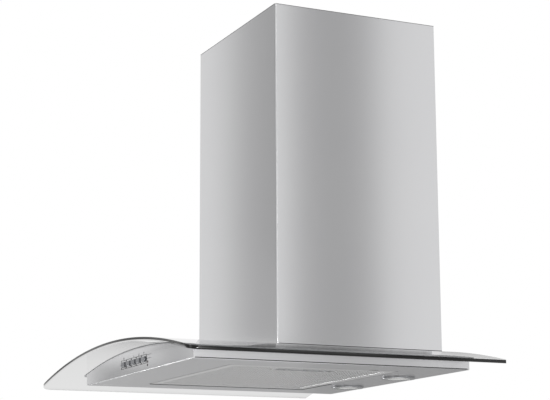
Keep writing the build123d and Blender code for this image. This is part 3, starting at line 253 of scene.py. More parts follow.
@dataclass(frozen=True)
class BrushedStainless(Finish):
    """Stainless steel sheet, satin brushed with a belt.

    The belt leaves fine parallel scratches, so lights turn into soft bands on the sheet.
    """

    grain: Grain = Grain.UPRIGHT
    colour: str = "#DCDCDD"
    worn: str = "#D8D8DA"
    roughness: float = 0.19
    scratch_gap: float = 0.5 * MM  # a real 0.1 mm, drawn coarser so that it shows
    scratch_length: float = 60 * MM
    cloud: float = 150 * MM
    spread: float = 0.02  # of the roughness, either way

    def paint(self, tree: bpy.types.NodeTree) -> bpy.types.NodeSocket:
        """Builds the brushed surface and returns its shader socket."""
        along = self.grain.along
        stretch = along / self.scratch_length + (Vector((1, 1, 1)) - along) / self.scratch_gap
        place = add_node(tree, "ShaderNodeTexCoord").outputs["Object"]
        scaled = add_node(tree, "ShaderNodeMapping", {"Vector": place, "Scale": stretch})
        lines = add_node(
            tree,
            "ShaderNodeTexNoise",
            {"Vector": scaled.outputs["Vector"], "Scale": 1.0, "Detail": 2.0},
        )
        clouds = add_node(
            tree, "ShaderNodeTexNoise", {"Vector": place, "Scale": 1 / self.cloud, "Detail": 3.0}
        )
        colour = add_node(
            tree,
            "ShaderNodeMix",
            {
                MIX_FACTOR: clouds.outputs["Fac"],
                MIX_A: srgb(self.colour),
                MIX_B: srgb(self.worn),
            },
            data_type="RGBA",
        )
        rough = add_node(
            tree,
            "ShaderNodeMapRange",
            {
                "Value": lines.outputs["Fac"],
                "To Min": self.roughness - self.spread,
                "To Max": self.roughness + self.spread,
            },
        )
        bump = add_node(
            tree,
            "ShaderNodeBump",
            {"Height": lines.outputs["Fac"], "Strength": 0.02, "Distance": 0.1 * MM},
        )
        across = self.grain.across
        tangent = add_node(
            tree, "ShaderNodeCombineXYZ", {"X": across.x, "Y": across.y, "Z": across.z}
        )
        steel = add_node(
            tree,
            "ShaderNodeBsdfPrincipled",
            {
                "Base Color": colour.outputs[MIX_RESULT],
                "Metallic": 1.0,
                "Roughness": rough.outputs["Result"],
                "Anisotropic": 0.4,
                "Tangent": tangent.outputs["Vector"],
                "Normal": bump.outputs["Normal"],
            },
        )
        return steel.outputs["BSDF"]


@dataclass(frozen=True)
class Galvanised(Finish):
    """Hot-dip galvanised steel sheet.

    The zinc freezes in flat crystals, the spangle, which catch the light one by one.
    """

    spangle: float = 9 * MM

    def paint(self, tree: bpy.types.NodeTree) -> bpy.types.NodeSocket:
        """Builds the spangled surface and returns its shader socket."""
        place = add_node(tree, "ShaderNodeTexCoord").outputs["Object"]
        crystals = add_node(
            tree, "ShaderNodeTexVoronoi", {"Vector": place, "Scale": 1 / self.spangle}
        )
        shade = add_node(
            tree, "ShaderNodeSeparateColor", {"Color": crystals.outputs["Color"]}
        )
        colour = add_node(
            tree,
            "ShaderNodeMix",
            {
                MIX_FACTOR: shade.outputs["Red"],
                MIX_A: srgb("#9DA2A6"),
                MIX_B: srgb("#BDC2C5"),
            },
            data_type="RGBA",
        )
        rough = add_node(
            tree,
            "ShaderNodeMapRange",
            {"Value": shade.outputs["Green"], "To Min": 0.32, "To Max": 0.5},
        )
        zinc = add_node(
            tree,
            "ShaderNodeBsdfPrincipled",
            {
                "Base Color": colour.outputs[MIX_RESULT],
                "Metallic": 0.9,
                "Roughness": rough.outputs["Result"],
            },
        )
        return zinc.outputs["BSDF"]


@dataclass(frozen=True)
class PlainMetal(Finish):
    """Turned, drawn or plated metal with a fine uneven sheen.

    Zinc-plated screws, a satin-chromed ring or a pressed steel casing differ only in tone.
    """

    colour: str = "#C4C6CA"
    roughness: float = 0.25
    patch: float = 3 * MM
    uneven: float = 0.3  # share by which the roughness changes, either way

    def paint(self, tree: bpy.types.NodeTree) -> bpy.types.NodeSocket:
        """Builds the metal and returns its shader socket."""
        place = add_node(tree, "ShaderNodeTexCoord").outputs["Object"]
        patches = add_node(
            tree, "ShaderNodeTexNoise", {"Vector": place, "Scale": 1 / self.patch, "Detail": 4.0}
        )
        rough = add_node(
            tree,
            "ShaderNodeMapRange",
            {
                "Value": patches.outputs["Fac"],
                "To Min": self.roughness * (1 - self.uneven),
                "To Max": self.roughness * (1 + self.uneven),
            },
        )
        metal = add_node(
            tree,
            "ShaderNodeBsdfPrincipled",
            {
                "Base Color": srgb(self.colour),
                "Metallic": 1.0,
                "Roughness": rough.outputs["Result"],
            },
        )
        return metal.outputs["BSDF"]


@dataclass(frozen=True)
class MouldedPlastic(Finish):
    """Injection-moulded ABS or polypropylene from a spark-eroded mould.

    The mould leaves an even, very fine grain that breaks up the shine.
    """

    colour: str = "#1B1C1E"
    roughness: float = 0.45
    grit: float = 0.6 * MM
    relief: float = 0.25
    spread: float = 0.06  # of the roughness, either way

    def paint(self, tree: bpy.types.NodeTree) -> bpy.types.NodeSocket:
        """Builds the grained plastic and returns its shader socket."""
        place = add_node(tree, "ShaderNodeTexCoord").outputs["Object"]
        grit = add_node(
            tree, "ShaderNodeTexNoise", {"Vector": place, "Scale": 1 / self.grit, "Detail": 2.0}
        )
        bump = add_node(
            tree,
            "ShaderNodeBump",
            {"Height": grit.outputs["Fac"], "Strength": self.relief, "Distance": 0.05 * MM},
        )
        rough = add_node(
            tree,
            "ShaderNodeMapRange",
            {
                "Value": grit.outputs["Fac"],
                "To Min": self.roughness - self.spread,
                "To Max": self.roughness + self.spread,
            },
        )
        plastic = add_node(
            tree,
            "ShaderNodeBsdfPrincipled",
            {
                "Base Color": srgb(self.colour),
                "Roughness": rough.outputs["Result"],
                "IOR": 1.53,
                "Normal": bump.outputs["Normal"],
            },
        )
        return plastic.outputs["BSDF"]


@dataclass(frozen=True)
class FlakeLacquer(Finish):
    """ABS lacquered graphite: aluminium flakes in a clear coat, slightly sparkling."""

    colour: str = "#94969A"
    flake: float = 0.5 * MM

    def paint(self, tree: bpy.types.NodeTree) -> bpy.types.NodeSocket:
        """Builds the flaked lacquer and returns its shader socket."""
        place = add_node(tree, "ShaderNodeTexCoord").outputs["Object"]
        flakes = add_node(
            tree, "ShaderNodeTexVoronoi", {"Vector": place, "Scale": 1 / self.flake}
        )
        shade = add_node(tree, "ShaderNodeSeparateColor", {"Color": flakes.outputs["Color"]})
        rough = add_node(
            tree,
            "ShaderNodeMapRange",
            {"Value": shade.outputs["Red"], "To Min": 0.28, "To Max": 0.46},
        )
        lacquer = add_node(
            tree,
            "ShaderNodeBsdfPrincipled",
            {
                "Base Color": srgb(self.colour),
                "Metallic": 0.7,
                "Roughness": rough.outputs["Result"],
                "Coat Weight": 0.4,
                "Coat Roughness": 0.12,
            },
        )
        return lacquer.outputs["BSDF"]


@dataclass(frozen=True)
class ClearGlass(Finish):
    """Toughened float glass: light goes straight through and mirrors off it at low angles."""

    tint: str = "#F1F1F1"
    mirror: float = 1.08  # index of refraction that sets how strongly it mirrors
    haze: float = 60 * MM

    def paint(self, tree: bpy.types.NodeTree) -> bpy.types.NodeSocket:
        """Builds the pane and returns its shader socket."""
        place = add_node(tree, "ShaderNodeTexCoord").outputs["Object"]
        haze = add_node(
            tree, "ShaderNodeTexNoise", {"Vector": place, "Scale": 1 / self.haze, "Detail": 3.0}
        )
        rough = add_node(
            tree,
            "ShaderNodeMapRange",
            {"Value": haze.outputs["Fac"], "To Min": 0.02, "To Max": 0.06},
        )
        gloss = add_node(
            tree,
            "ShaderNodeBsdfPrincipled",
            {
                "Base Color": srgb("#FAFAFA"),
                "Metallic": 1.0,
                "Roughness": rough.outputs["Result"],
            },
        )
        path = add_node(tree, "ShaderNodeLightPath")
        tint = add_node(
            tree,
            "ShaderNodeMix",
            {
                MIX_FACTOR: path.outputs["Is Camera Ray"],
                MIX_A: srgb("#FFFFFF"),
                MIX_B: srgb(self.tint),
            },
            data_type="RGBA",
        )
        clear = add_node(
            tree, "ShaderNodeBsdfTransparent", {"Color": tint.outputs[MIX_RESULT]}
        )
        slant = add_node(tree, "ShaderNodeFresnel", {"IOR": self.mirror})
        seen = add_node(
            tree,
            "ShaderNodeMath",
            {0: slant.outputs["Fac"], 1: path.outputs["Is Camera Ray"]},
            operation="MULTIPLY",
        )
        inside = add_node(tree, "ShaderNodeNewGeometry")
        share = add_node(
            tree,
            "ShaderNodeMapRange",
            {
                "Value": inside.outputs["Backfacing"],
                "To Min": seen.outputs["Value"],
                "To Max": 0.0,
            },
        )
        pane = add_node(
            tree,
            "ShaderNodeMixShader",
            {"Fac": share.outputs["Result"], 1: clear.outputs["BSDF"], 2: gloss.outputs["BSDF"]},
        )
        return pane.outputs["Shader"]


@dataclass(frozen=True)
class GlassRim(Finish):
    """Ground and polished edge of the glass.

    Seen square on it is painted almost black: painted shade for the light that travels far
    along the sheet. Seen slantwise its lower half lets the light of the sheet out.
    """

    opens: float = 0.0  # share of light that it lets out where seen slantwise
    streak: float = 14 * MM

    def paint(self, tree: bpy.types.NodeTree) -> bpy.types.NodeSocket:
        """Builds the polished edge and returns its shader socket."""
        place = add_node(tree, "ShaderNodeTexCoord").outputs["Object"]
        streaks = add_node(
            tree, "ShaderNodeTexNoise", {"Vector": place, "Scale": 1 / self.streak, "Detail": 2.0}
        )
        # Near-black colour: painted shade for the light lost along the sheet; the streaks only vary it
        # at random.
        colour = add_node(
            tree,
            "ShaderNodeMix",
            {
                MIX_FACTOR: streaks.outputs["Fac"],
                MIX_A: srgb("#060606"),
                MIX_B: srgb("#121212"),
            },
            data_type="RGBA",
        )
        dark = add_node(
            tree,
            "ShaderNodeBsdfPrincipled",
            {"Base Color": colour.outputs[MIX_RESULT], "Roughness": 0.12, "IOR": 1.52},
        )
        clear = add_node(tree, "ShaderNodeBsdfTransparent", {"Color": srgb("#F0F0F0")})
        slant = add_node(tree, "ShaderNodeLayerWeight", {"Blend": 0.5})
        let_out = add_node(
            tree,
            "ShaderNodeMapRange",
            {
                "Value": slant.outputs["Facing"],
                "From Min": 0.3,
                "From Max": 0.55,
                "To Max": self.opens,
            },
        )
        inside = add_node(tree, "ShaderNodeNewGeometry")
        share = add_node(
            tree,
            "ShaderNodeMath",
            {0: let_out.outputs["Result"], 1: inside.outputs["Backfacing"]},
            operation="MAXIMUM",
        )
        rim = add_node(
            tree,
            "ShaderNodeMixShader",
            {"Fac": share.outputs["Value"], 1: dark.outputs["BSDF"], 2: clear.outputs["BSDF"]},
        )
        return rim.outputs["Shader"]


@dataclass(frozen=True)
class FrostedGlass(Finish):
    """Sand-blasted lamp glass: milky, with no clear image behind it."""

    grit: float = 0.8 * MM

    def paint(self, tree: bpy.types.NodeTree) -> bpy.types.NodeSocket:
        """Builds the frosted glass and returns its shader socket."""
        place = add_node(tree, "ShaderNodeTexCoord").outputs["Object"]
        grains = add_node(
            tree, "ShaderNodeTexNoise", {"Vector": place, "Scale": 1 / self.grit, "Detail": 2.0}
        )
        bump = add_node(
            tree,
            "ShaderNodeBump",
            {"Height": grains.outputs["Fac"], "Strength": 0.4, "Distance": 0.05 * MM},
        )
        lens = add_node(
            tree,
            "ShaderNodeBsdfPrincipled",
            {
                "Base Color": srgb("#FAFAF8"),
                "Roughness": 0.3,
                "IOR": 1.5,
                "Normal": bump.outputs["Normal"],
            },
        )
        return lens.outputs["BSDF"]


@dataclass(frozen=True)
class AluminiumWool(Finish):
    """Stacked expanded aluminium foil: bright strands, with the gaps between them painted a little
    darker as shade.
    """

    strand: float = 3.2 * MM

    def paint(self, tree: bpy.types.NodeTree) -> bpy.types.NodeSocket:
        """Builds the strands and returns their shader socket."""
        place = add_node(tree, "ShaderNodeTexCoord").outputs["Object"]
        cells = add_node(
            tree,
            "ShaderNodeTexVoronoi",
            {"Vector": place, "Scale": 1 / self.strand},
            feature="DISTANCE_TO_EDGE",
        )
        wires = add_node(
            tree,
            "ShaderNodeMapRange",
            {"Value": cells.outputs["Distance"], "From Max": 0.2, "To Min": 1.0, "To Max": 0.0},
        )
        # The cell middles, the gaps between strands, are painted a little darker: painted shade.
        colour = add_node(
            tree,
            "ShaderNodeMix",
            {
                MIX_FACTOR: wires.outputs["Result"],
                MIX_A: srgb("#E8E8E9"),
                MIX_B: srgb("#FAFAFA"),
            },
            data_type="RGBA",
        )
        bump = add_node(
            tree,
            "ShaderNodeBump",
            {"Height": wires.outputs["Result"], "Strength": 0.25, "Distance": 0.4 * MM},
        )
        wool = add_node(
            tree,
            "ShaderNodeBsdfPrincipled",
            {
                "Base Color": colour.outputs[MIX_RESULT],
                "Metallic": 1.0,
                "Roughness": 0.4,
                "Normal": bump.outputs["Normal"],
            },
        )
        return wool.outputs["BSDF"]


COVER_STEEL = BrushedStainless("covers_brushed_stainless", roughness=0.16)
BODY_STEEL = BrushedStainless("body_brushed_stainless", grain=Grain.LEVEL, roughness=0.3)
PANEL_STEEL = BrushedStainless("panel_brushed_stainless", grain=Grain.LEVEL, roughness=0.16)
ZINC_SHEET = Galvanised("galvanised_sheet")
SCREW_ZINC = PlainMetal("screw_bright_zinc", colour="#C2C5CB", roughness=0.24)
MOTOR_STEEL = PlainMetal("motor_pressed_steel", colour="#83868A", roughness=0.42)
BEZEL_CHROME = PlainMetal("bezel_satin_chrome", colour="#B9BABC", roughness=0.14)
FILTER_ALUMINIUM = PlainMetal("filter_mill_aluminium", colour="#F6F6F6", roughness=0.3)
WOOL = AluminiumWool("filter_aluminium_wool")
RUBBER = MouldedPlastic("moulded_black_rubber", colour="#17181A", roughness=0.8, relief=0.6)
SEAL_RUBBER = MouldedPlastic("seal_grey_rubber", colour="#86888A", roughness=0.7, relief=0.6)
# Grey strips of painted shade for the dark gap round the grease filter.
FILTER_SHADE = MouldedPlastic("filter_painted_shade_grey", colour="#58595B", roughness=0.7)
# Dark strips of painted shade: along the body's side feet and at the feet of the lower cover; also round
# the cover's top.
SHADE_DARK = MouldedPlastic("painted_shade_dark", colour="#2E2F31", roughness=0.6)
BLACK_PLASTIC = MouldedPlastic("housing_black_polypropylene", colour="#1D1E20")
GREY_PLASTIC = MouldedPlastic("fittings_grey_polyamide", colour="#9A9C9F")
LATCH_PLASTIC = MouldedPlastic("latch_silver_abs", colour="#A4A5A7", roughness=0.4)
BUTTON_LACQUER = FlakeLacquer("button_graphite_lacquer")
PILOT_RED = MouldedPlastic("pilot_smoked_lens", colour="#3A2220", roughness=0.15, relief=0.05)
INK = MouldedPlastic("panel_printed_ink", colour="#4A4C4F", roughness=0.55)
GLASS = ClearGlass("canopy_toughened_glass")
UPPER_RIM = GlassRim("canopy_rim_upper")
LOWER_RIM = GlassRim("canopy_rim_lower", opens=0.85)
LENS = FrostedGlass("lamp_frosted_glass")


# ---- glass canopy ----


@dataclass
class GlassCanopy:
    """Arched sheet with rounded front corners and a notch at the wall."""

    thick: float = 5 * MM
    lower_share: float = 0.38  # of the thickness, where the rim's clearer half ends
    corner: float = 14 * MM
    notch_half: float = 128 * MM
    notch_depth: float = 248 * MM
    notch_corner: float = 10 * MM
    arris: float = 0.4 * MM
    arris_steps: int = 2
    slice_width: float = 10 * MM
    corner_steps: int = 8
    crease_degrees: float = 50.0
    half: float = field(init=False)
    depth: float = field(init=False)
    radius: float = field(init=False)  # of the underside
    centre_z: float = field(init=False)

    def __post_init__(self) -> None:
        """Works the arch out from the CAD sheet's box."""
        low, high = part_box("glass_canopy")
        self.half = high.x
        self.depth = -low.y
        rise = high.z - low.z - self.thick
        middle_radius = (self.half**2 + rise**2) / (2 * rise)
        self.radius = middle_radius - self.thick / 2
        self.centre_z = high.z - self.thick - self.radius

    def height(self, x: float, above: float = 0.0) -> float:
        """Height at x of a curve parallel to the underside of the glass."""
        return self.centre_z + math.sqrt((self.radius + above) ** 2 - x * x)

    def corner_points(self, x: float, y: float, radius: float, start: float) -> list[Vector]:
        """Quarter arc of the outline, drawn anticlockwise.

        Args:
            x: place of the arc's centre across the wall.
            y: place of the arc's centre out from the wall.
            radius: radius of the corner.
            start: angle in degrees of its first point.

        Returns:
            Points from the first to the last.
        """
        turns = [start + 90 * i / self.corner_steps for i in range(self.corner_steps + 1)]
        return [
            Vector((x + radius * math.cos(math.radians(t)), y + radius * math.sin(math.radians(t)), 0))
            for t in turns
        ]

    def outline(self) -> list[Vector]:
        """Outline of the sheet, seen from above, anticlockwise from the left front corner."""
        inset = self.corner
        fillet = self.notch_corner
        points = self.corner_points(-self.half + inset, -self.depth + inset, inset, 180)
        points += self.corner_points(self.half - inset, -self.depth + inset, inset, 270)
        points += [Vector((self.half, 0, 0)), Vector((self.notch_half, 0, 0))]
        notch = self.corner_points(
            self.notch_half - fillet, -self.notch_depth + fillet, fillet, 270
        )
        points += list(reversed(notch))
        notch = self.corner_points(
            -self.notch_half + fillet, -self.notch_depth + fillet, fillet, 180
        )
        points += list(reversed(notch))
        return points + [Vector((-self.notch_half, 0, 0)), Vector((-self.half, 0, 0))]

    def build(self) -> None:
        """Cuts the outline in slices, bends it to the arch and gives it thickness."""
        shape = bmesh.new()
        shape.faces.new([shape.verts.new(point) for point in self.outline()])
        count = int(self.half / self.slice_width)
        for i in range(1 - count, count):
            everything = shape.verts[:] + shape.edges[:] + shape.faces[:]
            bmesh.ops.bisect_plane(
                shape,
                geom=everything,
                dist=WELD,
                plane_co=(i * self.half / count, 0, 0),
                plane_no=(1, 0, 0),
            )
        levels = {vert: 0.0 for vert in shape.verts}
        sheet = shape.faces[:]
        for level in (self.lower_share * self.thick, self.thick):
            grown = bmesh.ops.extrude_face_region(shape, geom=sheet)["geom"]
            sheet = [part for part in grown if isinstance(part, bmesh.types.BMFace)]
            levels |= {v: level for v in grown if isinstance(v, bmesh.types.BMVert)}
        inner = [face for face in shape.faces if self.is_inner(face, levels)]
        bmesh.ops.delete(shape, geom=inner, context="FACES_ONLY")
        for vert, level in levels.items():
            vert.co.z = self.height(vert.co.x, level)
        for face in shape.faces:
            heights = {levels[vert] for vert in face.verts}
            face.material_index = 0 if len(heights) == 1 else 1 + int(0.0 in heights)
        rims = [
            edge
            for edge in shape.edges
            if sorted(face.material_index > 0 for face in edge.link_faces) == [False, True]
        ]
        ground = bmesh.ops.bevel(
            shape,
            geom=rims,
            offset=self.arris,
            segments=self.arris_steps,
            profile=0.5,
            affect="EDGES",
            material=-1,
        )
        for face in ground["faces"]:
            middle = face.calc_center_median()
            face.material_index = 2 * int(middle.z < self.height(middle.x, self.thick / 2))
        show(
            "canopy_sheet",
            shape,
            "hood",
            [GLASS, UPPER_RIM, LOWER_RIM],
            ("glass_canopy",),
            crease_degrees=self.crease_degrees,
        )

    def is_inner(self, face: bmesh.types.BMFace, levels: dict[bmesh.types.BMVert, float]) -> bool:
        """True for a face that lies inside the sheet's thickness."""
        return {levels[vert] for vert in face.verts} == {self.lower_share * self.thick}

    def dress(self) -> None:
        """Finishes the seal under the glass and the clamps that hold it."""
        dress(SEAL_RUBBER, "glass_seal")
        dress(ZINC_SHEET, "glass_clamps")


# ---- body ----


@dataclass
class HoodBody:
    """Pan, front panel and top plate, with a thin dark strip of painted shade along the foot of each
    side.
    """

    side_shade_foot: float = 0.5 * MM
    side_shade_height: float = 1.2 * MM
    side_shade_proud: float = 0.1 * MM
    side_shade_inset: float = 3 * MM

    def build_side_shade(self) -> None:
        """Lays a thin dark strip along the foot of both sides: painted shade for the dark line along the
        bottom bend.
        """
        low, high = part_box("hood_pan")
        shape = bmesh.new()
        for side in (-1, 1):
            middle = Vector(
                (side * high.x, (low.y + high.y) / 2, self.side_shade_foot + self.side_shade_height / 2)
            )
            lay_bar(
                shape,
                middle,
                high.y - low.y - 2 * self.side_shade_inset,
                self.side_shade_height,
                Vector((side * self.side_shade_proud, 0, 0)),
            )
        show("side_painted_shade", shape, "hood", [SHADE_DARK])

    def dress(self) -> None:
        """Finishes the sheets of the body."""
        dress(BODY_STEEL, "hood_pan", "top_plate")
        dress(PANEL_STEEL, "front_panel")


@dataclass
class Chimney:
    """The two telescopic covers and what holds them."""

    cover_strip_top: float = 0.6 * MM
    cover_shade_foot: float = 0.9 * MM
    cover_strip_proud: float = 0.15 * MM
    bend: float = 2 * MM

    def build_cover_strips(self) -> None:
        """Lays thin dark strips on the lower cover, round its top and at its sides' feet; those at the
        feet are painted shade for the dark gap where the cover meets the glass.
        """
        low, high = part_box("chimney_lower")
        shape = bmesh.new()
        length = high.y - low.y - self.bend
        middle_y = (low.y + self.bend + high.y) / 2
        for side in (-1, 1):
            out = Vector((side * self.cover_strip_proud, 0, 0))
            # The strips at the feet are painted shade for the dark gap on the glass.
            for z, tall in (
                (high.z - self.cover_strip_top / 2, self.cover_strip_top),
                (low.z + self.cover_shade_foot / 2, self.cover_shade_foot),
            ):
                lay_bar(shape, Vector((side * high.x, middle_y, z)), length, tall, out)
        lay_bar(
            shape,
            Vector((0, low.y, high.z - self.cover_strip_top / 2)),
            2 * (high.x - self.bend),
            self.cover_strip_top,
            Vector((0, -self.cover_strip_proud, 0)),
        )
        show("cover_dark_strips", shape, "hood", [SHADE_DARK])

    def dress(self) -> None:
        """Finishes the covers, the wall bracket and the clips."""
        dress(COVER_STEEL, "chimney_lower", "chimney_upper")
        dress(ZINC_SHEET, "chimney_bracket", "chimney_clips")
        dress(SCREW_ZINC, "bracket_screws")


@dataclass
class Cabinet:
    """Motor cabinet with its wall plate and electrics."""

    def dress(self) -> None:
        """Finishes the sheets, the fasteners and the electrical boxes."""
        dress(ZINC_SHEET, "motor_cabinet", "wall_plate")
        dress(SCREW_ZINC, "cabinet_screws", "wall_rivets")
        dress(GREY_PLASTIC, "terminal_box", "capacitor")
        dress(BLACK_PLASTIC, "cable_gland", "lamp_driver", "switch_block")


@dataclass
class Fan:
    """Scroll housing, impeller, motor and damper."""

    def dress(self) -> None:
        """Finishes the fan and the air outlet."""
        dress(
            BLACK_PLASTIC,
            "fan_housing_left",
            "fan_housing_right",
            "inlet_rings",
            "outlet_collar",
        )
        dress(GREY_PLASTIC, "impeller", "damper_flap_front", "damper_flap_rear")
        dress(MOTOR_STEEL, "motor")
        dress(ZINC_SHEET, "motor_arms")
        dress(RUBBER, "motor_bushes")
        dress(SCREW_ZINC, "motor_shaft", "damper_pin", "collar_screws")


@dataclass
class GreaseFilter:
    """Swing-down filter with its net, its core and its latch."""

    columns: int = 42
    rows: int = 56
    strand: float = 1.5 * MM
    tray_margin: float = 0.4 * MM
    tongue_width: float = 15.6 * MM
    tongue_length: float = 20 * MM  # of the latch's end, with its travel
    shade_strip: float = 0.7 * MM
    shade_strip_inset: float = 6.6 * MM  # from the hooks' tips
    rear_shade_strip: float = 100 * MM

    def build_net(self) -> None:
        """Stretches a net of diamonds over the core, open at the tray and at the latch's end."""
        low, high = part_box("filter_mesh")
        span = high - low
        shape = bmesh.new()
        bmesh.ops.create_grid(shape, x_segments=self.columns, y_segments=self.rows, size=0.5)
        bmesh.ops.scale(shape, vec=(span.x, span.y, 1), verts=shape.verts)
        bmesh.ops.translate(shape, vec=(low + high) / 2 - Vector((0, 0, span.z / 2)), verts=shape.verts)
        cell_edges = [edge for edge in shape.edges if not edge.is_boundary]
        bmesh.ops.poke(shape, faces=shape.faces[:])
        bmesh.ops.dissolve_edges(shape, edges=cell_edges)
        gaps = shape.faces[:]
        bmesh.ops.inset_individual(
            shape, faces=gaps, thickness=self.strand / 2, use_even_offset=True
        )
        bmesh.ops.delete(shape, geom=gaps, context="FACES")
        tray_low, tray_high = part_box("filter_tray")
        margin = Vector((self.tray_margin, self.tray_margin, 0))
        self.cut_hole(shape, tray_low - margin, tray_high + margin)
        latch_low, latch_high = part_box("filter_latch")
        latch_y = (latch_low.y + latch_high.y) / 2
        self.cut_hole(
            shape,
            Vector((latch_high.x - self.tongue_length, latch_y - self.tongue_width / 2, 0)),
            Vector((latch_high.x, latch_y + self.tongue_width / 2, 0)),
        )
        bmesh.ops.solidify(shape, geom=shape.faces[:], thickness=-span.z)
        show(
            "filter_net",
            shape,
            "filter",
            [FILTER_ALUMINIUM],
            ("filter_mesh",),
        )

    def build_shade_strips(self) -> None:
        """Lays a dark grey strip under the frame, along its hinge side and round the wall corner:
        painted shade for the dark gap at the filter's edge.
        """
        low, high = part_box("filter_frame")
        middle = (low + high) / 2
        drop = low.z - self.shade_strip / 2
        shape = bmesh.new()
        lay_bar(
            shape,
            Vector((low.x + self.shade_strip_inset, middle.y, drop)),
            high.y - low.y,
            self.shade_strip,
            Vector((self.shade_strip, 0, 0)),
        )
        lay_bar(
            shape,
            Vector((low.x + self.shade_strip_inset + self.rear_shade_strip / 2, high.y, drop)),
            self.rear_shade_strip,
            self.shade_strip,
            Vector((0, -self.shade_strip, 0)),
        )
        show("filter_painted_shade", shape, "filter", [FILTER_SHADE])

    def cut_hole(self, shape: bmesh.types.BMesh, low: Vector, high: Vector) -> None:
        """Cuts away the strands inside an upright-sided outline.

        Args:
            shape: the flat net.
            low: the outline's near corner in x and y.
            high: its far corner.
        """
        for corner, sides in ((low, (-1, 0)), (low, (0, -1)), (high, (1, 0)), (high, (0, 1))):
            bmesh.ops.bisect_plane(
                shape,
                geom=shape.verts[:] + shape.edges[:] + shape.faces[:],
                dist=WELD,
                plane_co=corner,
                plane_no=(*sides, 0),
            )
        inside = [
            face
            for face in shape.faces
            if low.x < face.calc_center_median().x < high.x
            and low.y < face.calc_center_median().y < high.y
        ]
        bmesh.ops.delete(shape, geom=inside, context="FACES")

    def dress(self) -> None:
        """Finishes the frame, the core, the tray and the latch."""
        dress(FILTER_ALUMINIUM, "filter_frame", "filter_tray")
        dress(WOOL, "filter_core")
        dress(LATCH_PLASTIC, "filter_latch")


class Mark(Enum):
    """Signs printed over the buttons, from the left."""

    POWER = "button_off"
    LOW = "button_speed_1"
    MIDDLE = "button_speed_2"
    HIGH = "button_speed_3"
    LIGHT = "button_light"


